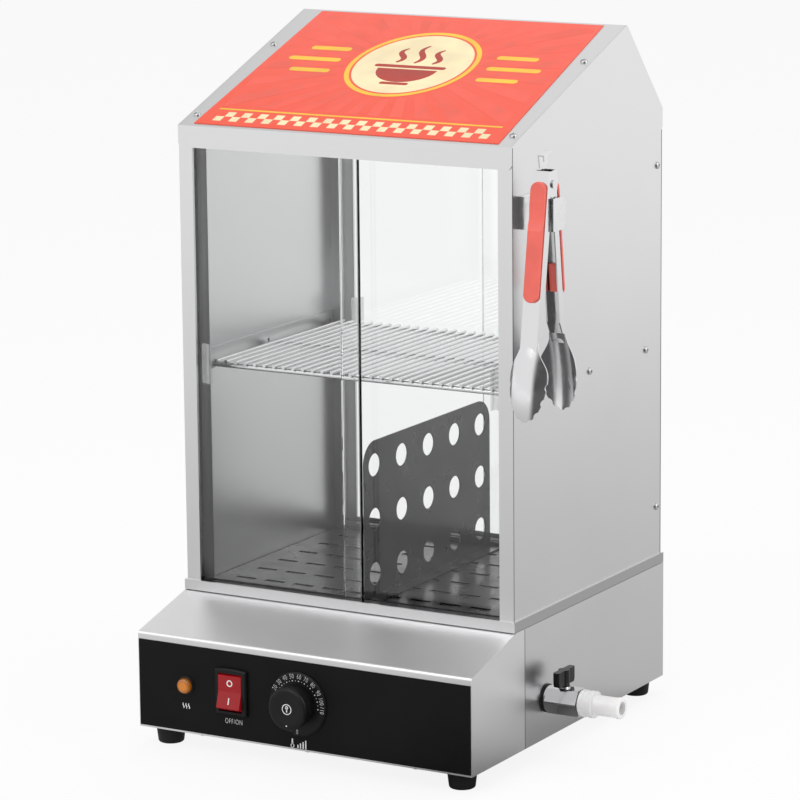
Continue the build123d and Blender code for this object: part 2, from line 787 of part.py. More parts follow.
def valve_ball():
    """Ball with a cross bore and the stem that the handle turns; closed at rest."""
    ball = Pos(valve_seat, 0, 0) * Sphere(valve_ball_width / 2)
    ball += rod_z(valve_seat, 0, 0, stem_top, stem / 2)
    return on_drain(ball - rod_y(valve_seat, -valve_ball_width, valve_ball_width, 0, ball_bore / 2))


def valve_handle():
    """Black butterfly handle, across the pipe when the valve is shut."""
    lift = valve_flats / 2 + boss_rise + handle_lift
    w = handle_span / 2
    waist = handle_notch / 2
    wings = side_profile([(-w, lift + handle_height), (-w, lift + handle_notch), (-w + waist, lift),
                          (w - waist, lift), (w, lift + handle_notch), (w, lift + handle_height)],
                         valve_seat - handle_thick / 2, valve_seat + handle_thick / 2)
    wings = fillet(wings.edges().filter_by(Axis.Z), handle_thick * 0.3)
    hub = rod_z(valve_seat, 0, lift - handle_lift + fit_gap, lift + handle_height, handle_hub / 2)
    return on_drain(wings + hub - rod_z(valve_seat, 0, 0, stem_top, stem / 2))


def hose_connector():
    """White hose tail: ribbed nut over the valve's nipple, spigot and end lip."""
    x0 = valve_end + connector_gap
    end = x0 + connector_length
    nut_end = x0 + connector_nut_length
    groove = connector_nut_length / 3
    body = rod_x(x0, nut_end, 0, 0, connector_nut / 2 - connector_groove)
    body += rod_x(x0, x0 + groove, 0, 0, connector_nut / 2)
    body += rod_x(nut_end - groove, nut_end, 0, 0, connector_nut / 2)
    body += rod_x(nut_end, end, 0, 0, connector_spigot / 2)
    lip = rod_x(end - connector_lip_length, end, 0, 0, connector_lip / 2)
    body += chamfer(lip.edges().group_by(Axis.X)[-1], connector_lip_length / 4)
    body -= rod_x(x0 - 1, end + 1, 0, 0, connector_bore / 2)
    socket = rod_x(x0 - 1, valve_end + nipple_length + seam_gap, 0, 0, nipple / 2 + seam_gap / 2)
    return on_drain(body - socket)


# ---- tray, partition and rack --------------------------------------------------------------
def hot_dog_tray():
    """Slotted steam tray that lies on the tank's rim, with a skirt that keeps it in place."""
    edge = panel_inside - tray_gap
    plate = block(-edge, edge, tray_front, tray_rear, tray_z, tray_z + sheet)
    skirt_half = tank_half - sheet - tray_gap
    y0, y1 = tank_front + sheet + tray_gap, tank_rear - sheet - tray_gap
    corner = tank_corner - sheet
    skirt = rounded_plate(skirt_half, y0, y1, tray_z - tray_skirt, tray_z, corner)
    skirt -= rounded_plate(skirt_half - sheet, y0 + sheet, y1 - sheet, tray_z - tray_skirt - 1, tray_z,
                           corner - sheet)
    pitch_x = 2 * skirt_half / tray_slots_across
    pitch_y = (y1 - y0) / tray_slots_deep
    slots = [block(x - tray_slot_length / 2, x + tray_slot_length / 2, y - tray_slot_width / 2,
                   y + tray_slot_width / 2, tray_z - 1, tray_z + 2 * sheet)
             for x in [(i - (tray_slots_across - 1) / 2) * pitch_x for i in range(tray_slots_across)]
             for y in [middle_y + (j - (tray_slots_deep - 1) / 2) * pitch_y for j in range(tray_slots_deep)]]
    return (plate + skirt).cut(*slots)


def partition():
    """Upright divider with three rows of round holes and a turned foot on the tray."""
    y0, y1 = tray_front + fit_gap, tray_rear - fit_gap
    z0, z1 = tray_z + sheet + fit_gap, floor + partition_top
    x0, x1 = partition_x - sheet / 2, partition_x + sheet / 2
    wall = block(x0, x1, y0, y1, z0, z1)
    wall = fillet(wall.edges().filter_by(Axis.X).group_by(Axis.Z)[-1], partition_corner)
    holes = []
    for row in range(partition_rows):
        for column in range(partition_columns):
            y = middle_y + (column - (partition_columns - 1) / 2) * partition_pitch
            z = floor + partition_first_row + row * partition_row_pitch
            holes.append(rod_x(x0 - 1, x1 + 1, y, z, partition_hole / 2))
    return wall.cut(*holes) + block(x1, x1 + partition_foot, y0, y1, z0, z0 + sheet)


def wire_rack():
    """Bun rack: wires from front to back welded on three cross rails."""
    edge = panel_inside - rack_end_gap
    rail_z = bracket_z + sheet + fit_gap + rack_rail / 2
    wire_z = rail_z + rack_rail / 2 + rack_wire / 2 - rack_weld
    y0, y1 = tray_front + rack_wire, tray_rear - rack_wire
    rails = [rod_x(-edge, edge, y, rail_z, rack_rail / 2)
             for y in (y0 + rack_wire, middle_y, y1 - rack_wire)]
    wires = [rod_y((i - (rack_wires - 1) / 2) * rack_pitch, y0, y1, wire_z, rack_wire / 2)
             for i in range(rack_wires)]
    return rails[0].fuse(*rails[1:], *wires)


# ---- cabinet sheet metal -------------------------------------------------------------------
def front_z(y, depth=0.0):
    """Height of the front roof at y, or of a surface that deep below it."""
    angle = math.radians(front_angle)
    return fold_z + y * math.tan(angle) - depth / math.cos(angle)


def rear_z(y, depth=0.0):
    angle = math.radians(rear_angle)
    return ridge_z - (y - ridge_setback) * math.tan(angle) - depth / math.cos(angle)


def roof_band(height, y0, y1, upper, lower):
    """Side outline of a strip of roof between two depths below its surface."""
    return [(y0, height(y0, upper)), (y1, height(y1, upper)), (y1, height(y1, lower)),
            (y0, height(y0, lower))]


def screw_seats():
    """Where the cabinet's screws sit: each is a location whose +Z points out of the sheet."""
    seats = []
    screw_x = half - roof_screw_inset
    for x in (-screw_x, screw_x):
        seats += [front_roof_plane.location * Pos(x, along, 0) for along in (roof_screw_low, roof_screw_high)]
        seats.append(rear_roof_plane.location * Pos(x, rear_roof_screw, 0))
    for side, turn in ((-1, -90), (1, 90)):
        seats += [Pos(side * half, y, floor + rack_level) * Rot(0, turn, 0) for y in rack_screws]
        seats += [Pos(side * half, cabinet_depth - panel_screw_inset, floor + z) * Rot(0, turn, 0) for z in panel_screw_heights]
    return seats


def screw_holes():
    return [seat * Cylinder(screw_hole / 2, 3 * screw_length) for seat in screw_seats()]


def side_panel(side):
    """Right or left wall with a flange turned in under each roof slope."""
    outline = [(0, floor), (cabinet_depth, floor), (cabinet_depth, rear_fold_z), (ridge_setback, ridge_z),
               (0, fold_z)]
    wall = side_profile(outline, panel_inside, half)
    inner = half - roof_flange
    upper, lower = sheet + seam_gap, 2 * sheet + seam_gap
    wall += side_profile(roof_band(front_z, post_depth, ridge_setback - roof_flange_margin, upper, lower),
                         inner, panel_inside)
    wall += side_profile(roof_band(rear_z, ridge_setback + roof_flange_margin, cabinet_depth - roof_flange_margin,
                                   upper, lower), inner, panel_inside)
    return wall if side > 0 else mirror(wall, about=Plane.YZ)


def roof_front():
    """Front roof sheet with the header bent down over the front posts."""
    edge = panel_inside - seam_gap
    slope = side_profile(roof_band(front_z, -sheet, ridge_setback, 0, sheet), -edge, edge)
    header = side_profile([(-sheet, header_z), (0, header_z), (0, front_z(0)), (-sheet, front_z(-sheet))],
                          -half, half)
    corners = header.edges().filter_by(Axis.Y).group_by(Axis.Z)[0]
    return slope + fillet(corners, header_corner)


def roof_rear():
    edge = panel_inside - seam_gap
    back = cabinet_depth
    slope = side_profile(roof_band(rear_z, ridge_setback, back + sheet, 0, sheet), -edge, edge)
    header = side_profile([(back, header_z), (back + sheet, header_z), (back + sheet, rear_z(back + sheet)),
                           (back, rear_z(back))], -half, half)
    corners = header.edges().filter_by(Axis.Y).group_by(Axis.Z)[0]
    return slope + fillet(corners, header_corner)


def sign_panel():
    """Thin printed plate on the front roof, a little narrower at the ridge."""
    run = math.hypot(ridge_setback, ridge_rise) - sign_margin
    outline = Polyline([(-sign_front_half, sign_margin), (sign_front_half, sign_margin),
                        (sign_rear_half, run), (-sign_rear_half, run)], close=True)
    plate = extrude(make_face(outline.edges()), sign_thick, dir=(0, 0, 1))
    return front_roof_plane.location * plate


def post(side):
    """Front door post: a channel that is open towards the doors, with a short lip on its face."""
    inner = half - post_face
    top = header_z + post_top
    face = block(inner, panel_inside, 0, sheet, floor, top)
    lip = block(inner, inner + sheet, sheet, post_lip, floor, top)
    web = block(panel_inside - sheet, panel_inside, sheet, post_depth - sheet, floor, top)
    back = block(inner, panel_inside, post_depth - sheet, post_depth, floor, top)
    channel = face + lip + web + back
    return channel if side > 0 else mirror(channel, about=Plane.YZ)


def cabinet_ring():
    """Band round the foot of the cabinet, a little proud of its walls."""
    ring = block(-base_half, base_half, -ring_wall, base_rear, floor, ring_top)
    return ring - block(-half, half, 0, cabinet_depth, floor - 1, ring_top + 1)


def lower_track():
    """Double door track along the sill."""
    edge = panel_inside - sheet - seam_gap
    y0, y1 = sheet + seam_gap, post_depth - sheet - seam_gap
    top = floor + track_base + lower_rib
    track = block(-edge, edge, y0, y1, floor, top)
    for y in (outer_glass_y, inner_glass_y):
        track -= block(-edge - 1, edge + 1, y - track_gap, y + glass + track_gap, floor + track_base, top + 1)
    return notch_for_lips(track, floor, top)


def upper_track():
    """Double door track behind the header, deep enough to lift a door out."""
    edge = panel_inside - sheet - seam_gap
    y0, y1 = sheet + seam_gap, post_depth - sheet - seam_gap
    top = header_z + upper_rib + track_base
    track = block(-edge, edge, y0, y1, header_z, top)
    for y in (outer_glass_y, inner_glass_y):
        track -= block(-edge - 1, edge + 1, y - track_gap, y + glass + track_gap, header_z - 1,
                       header_z + upper_rib)
    return notch_for_lips(track, header_z, top)


def notch_for_lips(track, z0, z1):
    """Clear the lip of each door post."""
    inner = half - post_face - seam_gap
    for x0, x1 in ((-inner - sheet - 2 * seam_gap, -inner), (inner, inner + sheet + 2 * seam_gap)):
        track -= block(x0, x1, 0, post_lip + seam_gap, z0 - 1, z1 + 1)
    return track


def rack_bracket(side):
    """Angle that carries the bun rack."""
    y0, y1 = tray_front + seam_gap, tray_rear - seam_gap
    leg = block(panel_inside - rack_bracket_leg, panel_inside, y0, y1, bracket_z, bracket_z + sheet)
    leg += block(panel_inside - sheet, panel_inside, y0, y1, bracket_z, bracket_z + rack_bracket_height)
    return leg if side > 0 else mirror(leg, about=Plane.YZ)


def door_glass(near_y, side):
    """One sliding pane, from its post to a little past the middle."""
    x0, x1 = (-door_edge, door_overlap / 2) if side < 0 else (-door_overlap / 2, door_edge)
    pane = block(x0, x1, near_y, near_y + glass, glass_foot, glass_top)
    return chamfer(pane.edges().filter_by(Axis.Z), glass * 0.12)


def door_pull(near_y, side):
    """Clear angle-shaped finger pull stuck on the front of a pane."""
    z0 = floor + pull_centre - pull_height / 2
    z1 = z0 + pull_height
    x1 = door_edge - pull_edge
    x0 = x1 - pull_width
    pad = block(x0, x1, near_y - pull_plate, near_y, z0, z1)
    fin = block(x0, x0 + pull_plate, near_y - pull_reach, near_y, z0, z1)
    angle = fillet((pad + fin).edges().filter_by(Axis.Z).group_by(Axis.Y)[0], pull_plate * 0.4)
    return angle if side > 0 else mirror(angle, about=Plane.YZ)


def tong_holder():
    """Bent hook plate: a pad on the side panel, a web that the tongs straddle and an outer lip."""
    z1 = holder_top
    z0 = z1 - holder_height
    y0 = holder_web_y - holder_sheet / 2
    lip_out = half + holder_sheet + holder_reach + seam_gap
    pad = block(half, half + holder_sheet, y0, y0 + holder_base, z0, z1)
    web = block(half, lip_out, y0, y0 + holder_sheet, z0, z1)
    lip = block(lip_out - holder_sheet, lip_out, y0, y0 + holder_lip, z0, z1)
    pad = fillet(pad.edges().filter_by(Axis.X).group_by(Axis.Y)[-1], holder_corner)
    lip = fillet(lip.edges().filter_by(Axis.X).group_by(Axis.Y)[-1], holder_corner)
    return pad + web + lip


def cabinet_pieces():
    holes = screw_holes()
    drilled = {
        "side_panel_left": side_panel(-1), "side_panel_right": side_panel(1),
        "roof_front": roof_front(), "roof_rear": roof_rear(),
        "front_left_post": post(-1), "front_right_post": post(1),
        "rear_left_post": half_turn(post(1)), "rear_right_post": half_turn(post(-1)),
        "rack_bracket_left": rack_bracket(-1), "rack_bracket_right": rack_bracket(1),
    }
    for name, piece in drilled.items():
        keep(name, piece.cut(*holes))
    through = 2 * sheet + fit_gap
    keep("cabinet_screws", *[seat * pan_screw(through) for seat in screw_seats()])
    keep("sign_panel", sign_panel())
    keep("cabinet_ring", cabinet_ring())
    keep("front_sill_track", lower_track())
    keep("front_head_track", upper_track())
    keep("rear_sill_track", half_turn(lower_track()))
    keep("rear_head_track", half_turn(upper_track()))
    keep("tong_holder", tong_holder())
    keep("front_left_door", door_glass(outer_glass_y, -1))
    keep("front_right_door", door_glass(inner_glass_y, 1))
    keep("rear_right_door", half_turn(door_glass(outer_glass_y, -1)))
    keep("rear_left_door", half_turn(door_glass(inner_glass_y, 1)))
    keep("front_left_pull", door_pull(outer_glass_y, -1))
    keep("front_right_pull", door_pull(inner_glass_y, 1))
    keep("rear_right_pull", half_turn(door_pull(outer_glass_y, -1)))
    keep("rear_left_pull", half_turn(door_pull(inner_glass_y, 1)))


# ---- tongs ---------------------------------------------------------------------------------
# One arm is drawn hanging straight down from its rivet at the origin, its back towards -Y.
def channel_outline():
    """Side outline of an arm's flanges, narrow where the arm passes the holder's web."""
    back, low = -tong_back, -tong_arm_length
    return [(back, tong_head), (tong_inner_top, tong_head), (tong_inner_top, -tong_throat),
            (tong_inner_low, -tong_throat_end), (tong_inner_low, -tong_flange_end),
            (back + tong_sheet, low), (back, low)]


def tong_arm(inset, lobe_reach):
    """Folded channel with rounded ears for the rivet, running out into a scalloped cup."""
    w = tong_width / 2 - inset
    body = side_profile(channel_outline(), -w, w)
    body += rod_x(-w, w, 0, lobe_reach, tong_ear) + rod_x(-w, w, 0, -lobe_reach, tong_ear)
    body += block(-w, w, -tong_ear, tong_ear, -lobe_reach, lobe_reach)
    body -= block(-w + tong_sheet, w - tong_sheet, -tong_back + tong_sheet, tong_back,
                  -tong_length, 2 * tong_head)
    body += spoon()
    return body - rod_x(-w - 1, w + 1, 0, 0, tong_pin / 2 + tong_pin_gap)


def spoon_outline(low, high):
    """Oval end with S-shaped shoulders that narrow to the arm, as a face in the XZ plane."""
    wide, neck, middle = spoon_width / 2, tong_width / 2, low + spoon_oval
    rise = high - middle
    end = EllipticalCenterArc((0, middle), wide, spoon_oval, start_angle=180, arc_size=180)
    right = Spline((wide, middle), (neck, high), tangents=[(0, rise), (0, rise)])
    left = Spline((-neck, high), (-wide, middle), tangents=[(0, -rise), (0, -rise)])
    across = Line((neck, high), (-neck, high))
    return Plane.XZ * make_face([*end.edges(), *right.edges(), *across.edges(), *left.edges()])


def scallop_places(middle):
    """Middles of the scallops round the spoon's lower edge."""
    across, down = spoon_width / 2 + scallop_out, spoon_oval + scallop_out
    for turn in scallop_turns:
        angle = math.radians(turn)
        for side in (-1, 1):
            yield side * across * math.cos(angle), middle - down * math.sin(angle)


def spoon():
    """Cupped end with a scalloped edge, cut from a thin torus."""
    tip = -tong_length
    top = tip + spoon_length
    crest = -tong_back - spoon_bulge
    place = Pos(0, crest + spoon_long_radius, (top + tip) / 2) * Rot(0, 90, 0)
    ring = spoon_long_radius - spoon_cup_radius
    shell = place * Torus(ring, spoon_cup_radius) - place * Torus(ring, spoon_cup_radius - tong_sheet)
    y0, y1 = crest - 1, crest + spoon_cup_radius
    leaf = Pos(0, y1, 0) * extrude(spoon_outline(tip, top), y1 - y0)
    notches = [rod_y(x, y0 - 1, y1 + 1, z, scallop / 2) for x, z in scallop_places(tip + spoon_oval)]
    return shell & leaf.cut(*notches)


def tong_grip(plug):
    """Soft pad on the back of an arm with a hollow for the thumb; the rear one has a plug inside."""
    w = grip_width / 2
    back = -tong_back - grip_gap
    face = back - grip_thick
    pad = block(-w, w, face, back, grip_bottom, grip_top)
    pad = fillet(pad.edges().filter_by(Axis.Y), w * 0.98)
    pad = fillet(pad.edges().group_by(Axis.Y)[0], grip_round)
    pad -= rod_x(-2 * w, 2 * w, face + thumb_depth - thumb_radius, grip_top - thumb_drop, thumb_radius)
    if plug:
        inside = -tong_back + tong_sheet + grip_gap
        neck_foot = grip_bottom + plug_neck_foot
        foot = grip_bottom + plug_foot
        pad += block(-plug_neck / 2, plug_neck / 2, back, inside, neck_foot, neck_foot + plug_neck_length)
        pad += block(-plug_width / 2, plug_width / 2, inside, inside + plug_thick, foot, foot + plug_length)
    return pad


def plug_slot():
    """Slot in the rear arm that the grip's plug passes through."""
    w = plug_neck / 2 + seam_gap
    foot = grip_bottom + plug_neck_foot
    return block(-w, w, -tong_back - 1, -tong_back + 2 * tong_sheet, foot - seam_gap,
                 foot + plug_neck_length + seam_gap)


def pull_tab():
    """Locking tab between the arms' heads: a stem, a slotted strip and a bent finger lip."""
    w = tab_width / 2
    t = tab_thick / 2
    stem_strip = block(-t, t, -tab_stem_front, tab_stem_back, 0, tab_stem_rise)
    strip = block(-t, t, -w, w, tab_stem_rise, tab_rise)
    top = tab_rise - tab_slot
    slot = side_profile([(-tab_slot / 2, top - tab_slot_length), (tab_slot / 2, top - tab_slot_length),
                         (tab_slot / 2, top), (-tab_slot / 2, top)], -tab_thick, tab_thick)
    lip = block(-t, tab_lip, -w, w, tab_rise - tab_thick, tab_rise)
    return stem_strip + strip + lip - slot


def hung(piece, lean):
    """Place an arm piece at the rivet; a positive lean swings its lower end forward."""
    return Pos(tong_x, tong_pivot_y, tong_pivot_level) * Rot(-lean, 0, 0) * piece


def tong_pieces():
    rear = Rot(0, 0, 180)
    keep("tong_arm_front", hung(tong_arm(0, tong_ear_reach), tong_front_lean))
    keep("tong_arm_rear", hung(rear * (tong_arm(tong_nest, seam_gap) - plug_slot()), -tong_rear_lean))
    keep("tong_grip_front", hung(tong_grip(False), tong_front_lean))
    keep("tong_grip_rear", hung(rear * tong_grip(True), -tong_rear_lean))
    end = tong_width / 2 + seam_gap
    outer = end + tong_pin_head_depth
    pin = rod_x(-end, end, 0, 0, tong_pin / 2)
    pin += rod_x(-outer, -end, 0, 0, tong_pin_head / 2) + rod_x(end, outer, 0, 0, tong_pin_head / 2)
    keep("tong_pin", hung(pin, 0))
    keep("tong_pull_tab", hung(Pos(0, 0, tab_start) * Rot(tab_lean, 0, 0) * pull_tab(), 0))


# ---- build, move over the resting point and save -------------------------------------------
def main():
    base_pieces()
    keep("lamp_body", lamp_body())
    keep("lamp_lens", lamp_lens())
    keep("switch_housing", switch_housing())
    keep("rocker", rocker())
    keep("dial_disc", dial_disc())
    keep("thermostat_body", thermostat_body())
    keep("thermostat_shaft", shaft_solid(shaft_radius))
    keep("knob", knob())
    keep("water_tank", water_tank())
    keep("heating_element", heating_element())
    keep("sensor_bulb", sensor_bulb())
    keep("overheat_cutout", overheat_cutout())
    keep("terminal_block", terminal_block())
    keep("cord_gland", cord_gland())
    keep("drain_gasket", drain_gasket())
    keep("valve_body", valve_body())
    keep("valve_ball", valve_ball())
    keep("valve_handle", valve_handle())
    keep("hose_connector", hose_connector())
    keep("hot_dog_tray", hot_dog_tray())
    keep("partition", partition())
    keep("wire_rack", wire_rack())
    cabinet_pieces()
    tong_pieces()
    os.makedirs("parts", exist_ok=True)
    shift = Pos(-centre[0], -centre[1], foot_height)
    for name, solids in pieces.items():
        placed = [shift * solid for solid in solids]
        export_step(placed[0] if len(placed) == 1 else Compound(children=placed), f"parts/{name}.step")


if __name__ == "__main__":
    main()
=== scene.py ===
"""Finishes and fine detail of a countertop hot dog steamer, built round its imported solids.

Metres, +Z up, the controls face -Y. One operator makes or finishes each group of like pieces.
"""

import json
import math

import bmesh
import bpy
from bpy.props import FloatProperty, FloatVectorProperty, IntProperty, PointerProperty
from mathutils import Matrix, Vector


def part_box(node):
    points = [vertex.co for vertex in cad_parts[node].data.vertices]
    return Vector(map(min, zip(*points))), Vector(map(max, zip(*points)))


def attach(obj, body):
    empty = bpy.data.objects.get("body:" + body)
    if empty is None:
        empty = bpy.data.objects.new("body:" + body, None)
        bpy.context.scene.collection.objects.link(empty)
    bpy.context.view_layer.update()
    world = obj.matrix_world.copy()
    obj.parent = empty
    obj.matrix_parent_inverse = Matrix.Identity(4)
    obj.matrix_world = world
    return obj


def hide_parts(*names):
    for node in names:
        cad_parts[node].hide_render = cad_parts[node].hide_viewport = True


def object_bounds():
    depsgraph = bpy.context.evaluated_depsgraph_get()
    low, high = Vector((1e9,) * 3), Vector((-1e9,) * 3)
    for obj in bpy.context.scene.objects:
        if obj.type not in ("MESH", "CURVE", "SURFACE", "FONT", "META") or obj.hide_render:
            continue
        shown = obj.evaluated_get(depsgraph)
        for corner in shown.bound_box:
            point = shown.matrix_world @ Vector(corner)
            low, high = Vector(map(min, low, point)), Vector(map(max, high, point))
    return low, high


bl_info = {
    "name": "Hot dog steamer",
    "version": (1, 0, 0),
    "blender": (4, 5, 0),
    "location": "View3D > Sidebar > Steamer",
    "description": "Finishes and fine detail of a countertop hot dog steamer",
    "category": "Object",
}

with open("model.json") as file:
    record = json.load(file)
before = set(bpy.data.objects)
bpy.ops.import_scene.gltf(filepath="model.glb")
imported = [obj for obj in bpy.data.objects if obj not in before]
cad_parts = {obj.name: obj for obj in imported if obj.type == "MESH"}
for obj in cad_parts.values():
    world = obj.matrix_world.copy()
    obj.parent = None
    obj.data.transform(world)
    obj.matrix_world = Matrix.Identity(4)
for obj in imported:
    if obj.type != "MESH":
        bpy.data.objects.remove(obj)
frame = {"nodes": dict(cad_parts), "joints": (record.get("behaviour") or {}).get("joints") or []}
NODES = frame["nodes"]
CAD_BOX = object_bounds()


# ---- settings ----
def colour(name, description, value):
    return FloatVectorProperty(name=name, description=description, default=value, size=3, subtype="COLOR",
                               min=0.0, max=1.0)


def amount(name, description, value, **options):
    return FloatProperty(name=name, description=description, default=value, **options)


def length(name, description, value):
    return amount(name, description, value, min=0.0, subtype="DISTANCE", unit="LENGTH", precision=5)


class SteamerFinish(bpy.types.PropertyGroup):
    """Colours and gloss of the sheet metal, plastics and glass."""
    steel: colour("Steel", "Colour of the stainless sheet", (0.72, 0.72, 0.725))
    steel_roughness: amount("Steel roughness", "Blur of reflections in the sheet", 0.30, min=0.02, max=1.0)
    grain_pitch: length("Grain pitch", "Distance between brush lines in the sheet", 0.0006)
    bright: colour("Bright metal", "Colour of tongs, valve and wires", (0.80, 0.80, 0.81))
    panel: colour("Panel", "Colour of the printed film on the controls", (0.0065, 0.0065, 0.007))
    moulding: colour("Moulding", "Colour of the black plastic parts", (0.009, 0.009, 0.0095))
    rubber: colour("Rubber", "Colour of the feet and the drain seal", (0.012, 0.012, 0.012))
    print_white: colour("Print", "Colour of the white marks", (0.86, 0.86, 0.84))
    sign_low: colour("Sign, low", "Sign colour at the fold over the doors", (0.88, 0.080, 0.033))
    sign_high: colour("Sign, high", "Sign colour at the ridge", (0.88, 0.105, 0.062))
    sign_cream: colour("Sign cream", "Pale colour of the sign's design", (0.93, 0.78, 0.48))
    sign_yellow: colour("Sign yellow", "Warm colour of the sign's design", (0.93, 0.55, 0.04))
    sign_brick: colour("Sign brick", "Dark colour of the sign's design", (0.42, 0.03, 0.015))
    lens: colour("Lamp lens", "Colour of the pilot lamp", (0.72, 0.24, 0.010))
    rocker: colour("Rocker", "Colour of the switch rocker", (0.34, 0.004, 0.008))
    grip: colour("Grip", "Colour of the tongs' grips", (0.90, 0.155, 0.120))
    tray: colour("Tray", "Colour of the dark coated tray and divider", (0.030, 0.031, 0.034))
    nylon: colour("Nylon", "Colour of the hose tail", (0.92, 0.92, 0.915))


class SteamerDetail(bpy.types.PropertyGroup):
    """Sizes of the printed marks, the screws and the sign's design."""
    ink: length("Ink thickness", "How far printed marks stand proud", 0.00005)
    dial_first: IntProperty(name="First number", description="Lowest number on the dial", default=20)
    dial_step: IntProperty(name="Number step", description="Step between the dial's numbers", default=10)
    number_height: length("Number height", "Height of the dial's numbers", 0.0040)
    caption_height: length("Caption height", "Height of the letters under the switch", 0.0043)
    condensed: amount("Condensed", "Width of the letters against the plain face", 0.70, min=0.3, max=1.5)
    seam_width: length("Seam width", "Width of the dark line where two sheets meet", 0.0007)
    recess_width: length("Recess width", "Width of the cross recess in a screw", 0.0009)
    recess_depth: length("Recess depth", "Depth of the cross recess in a screw", 0.0009)
    check_size: length("Check size", "Side of a square in the sign's border", 0.0075)
    steam_width: length("Steam width", "Width of the steam curls on the sign", 0.0052)


class SteamerStage(bpy.types.PropertyGroup):
    """Light, floor and camera."""
    floor: colour("Floor", "Colour of the floor", (0.90, 0.90, 0.90))
    floor_glow: amount("Floor glow", "Share of plain white in the floor as seen", 0.88, min=0.0, max=1.0)
    world_light: amount("World light", "Strength of the soft light all round", 0.55, min=0.0)
    key_power: amount("Key light", "Power of the large light above left", 34.0, min=0.0, unit="POWER")
    fill_power: amount("Fill light", "Power of the other two lights", 16.0, min=0.0, unit="POWER")
    lens: amount("Lens", "Focal length on a 36 mm sensor", 178.69, min=10.0, unit="CAMERA")
    camera_turn: amount("Camera turn", "How far right of the front the camera stands", math.radians(29.94),
                        subtype="ANGLE", unit="ROTATION")
    camera_drop: amount("Camera drop", "How far the camera looks down", math.radians(11.60),
                        subtype="ANGLE", unit="ROTATION")
    camera_roll: amount("Camera roll", "Roll of the camera", -0.0096, subtype="ANGLE", unit="ROTATION")
    camera_place: FloatVectorProperty(name="Camera place", description="Where the camera stands",
                                      default=(1.52869, -2.71629, 0.90866), size=3, subtype="TRANSLATION",
                                      unit="LENGTH")


def finish():
    return bpy.context.scene.steamer_finish


def detail():
    return bpy.context.scene.steamer_detail


# ---- materials ----
class Graph:
    """A node tree under construction: adds shader nodes and links them."""

    def __init__(self, tree):
        self.nodes, self.links = tree.nodes, tree.links

    def link(self, source, target):
        self.links.new(source, target)

    def node(self, kind, inputs=None, **options):
        made = self.nodes.new(kind)
        for key, value in options.items():
            setattr(made, key, value)
        for key, value in (inputs or {}).items():
            if isinstance(value, bpy.types.NodeSocket):
                self.link(value, made.inputs[key])
            else:
                made.inputs[key].default_value = value
        return made

    def maths(self, operation, *inputs):
        return self.node("ShaderNodeMath", dict(enumerate(inputs)), operation=operation).outputs[0]

    def vector(self, operation, output, *inputs):
        made = self.node("ShaderNodeVectorMath", dict(enumerate(inputs)), operation=operation)
        return made.outputs[output]

    def between(self, factor, low, high, start=0.3, stop=0.7):
        made = self.node("ShaderNodeMapRange", {"Value": factor, "From Min": start, "From Max": stop,
                                                "To Min": low, "To Max": high})
        return made.outputs["Result"]

    def blend(self, factor, first, second, start=0.35, stop=0.65):
        ramp = self.node("ShaderNodeValToRGB", {"Fac": factor})
        for element, place, value in zip(ramp.color_ramp.elements, (start, stop), (first, second)):
            element.position = place
            element.color = (*value, 1.0)
        return ramp.outputs["Color"]


class Recipe(Graph):
    """A material under construction, with what every finish varies."""

    def __init__(self, name, base, roughness, metallic=0.0):
        self.material = bpy.data.materials.new(name)
        self.material.use_nodes = True
        super().__init__(self.material.node_tree)
        self.shader = self.nodes["Principled BSDF"]
        self.set({"Base Color": (*base, 1.0), "Roughness": roughness, "Metallic": metallic})
        self.space = self.nodes.new("ShaderNodeTexCoord").outputs["Object"]

    def set(self, values):
        for socket, value in values.items():
            self.shader.inputs[socket].default_value = value

    def noise(self, scale, detail_level=3.0, stretch=(1.0, 1.0, 1.0), roughness=0.5):
        mapped = self.node("ShaderNodeMapping", {"Vector": self.space, "Scale": stretch})
        made = self.node("ShaderNodeTexNoise", {"Vector": mapped.outputs["Vector"], "Scale": scale,
                                                "Detail": detail_level, "Roughness": roughness})
        return made.outputs["Fac"]

    def vary_roughness(self, factor, low, high, start=0.3, stop=0.7):
        self.link(self.between(factor, low, high, start, stop), self.shader.inputs["Roughness"])

    def vary_colour(self, factor, first, second, start=0.35, stop=0.65):
        self.link(self.blend(factor, first, second, start, stop), self.shader.inputs["Base Color"])

    def bump(self, height, strength, distance):
        made = self.node("ShaderNodeBump", {"Height": height, "Strength": strength, "Distance": distance})
        self.link(made.outputs["Normal"], self.shader.inputs["Normal"])


def shade(base, factor):
    return tuple(min(1.0, c * factor) for c in base)


def brushed_sheet(name, base, roughness, along, grain):
    """Sheet steel with a fine directional grain, faint clouding and handling marks."""
    recipe = Recipe(name, base, roughness, metallic=1.0)
    across = 1.0 / grain
    stretch = tuple(across * 0.012 if axis == along else across for axis in "XYZ")
    lines = recipe.noise(1.0, 2.0, stretch, 0.6)
    clouds = recipe.noise(9.0, 3.0)
    mixed = recipe.maths("ADD", lines, clouds)
    recipe.vary_roughness(mixed, roughness * 0.94, roughness * 1.07, 0.7, 1.3)
    recipe.vary_colour(clouds, shade(base, 0.985), shade(base, 1.01), 0.3, 0.7)
    recipe.bump(lines, 0.05, 0.00002)
    return recipe.material


def band_steel_painted_shade(base, roughness, grain):
    """Steel of the band round the cabinet's foot, with painted shade: darker on its faces that turn to the
    sides than in front and at the back.
    """
    material = brushed_sheet("steel_band_painted_shade", base, roughness, "X", grain)
    graph = Graph(material.node_tree)
    normal = graph.node("ShaderNodeNewGeometry").outputs["True Normal"]
    sideways_painted_shade = graph.maths("ABSOLUTE", graph.node("ShaderNodeSeparateXYZ", {0: normal}).outputs["X"])
    # painted shade: faces turned to the sides take a darker copy of the steel
    graph.link(graph.blend(sideways_painted_shade, base, shade(base, 0.66), 0.4, 0.9),
               graph.nodes["Principled BSDF"].inputs["Base Color"])
    return material


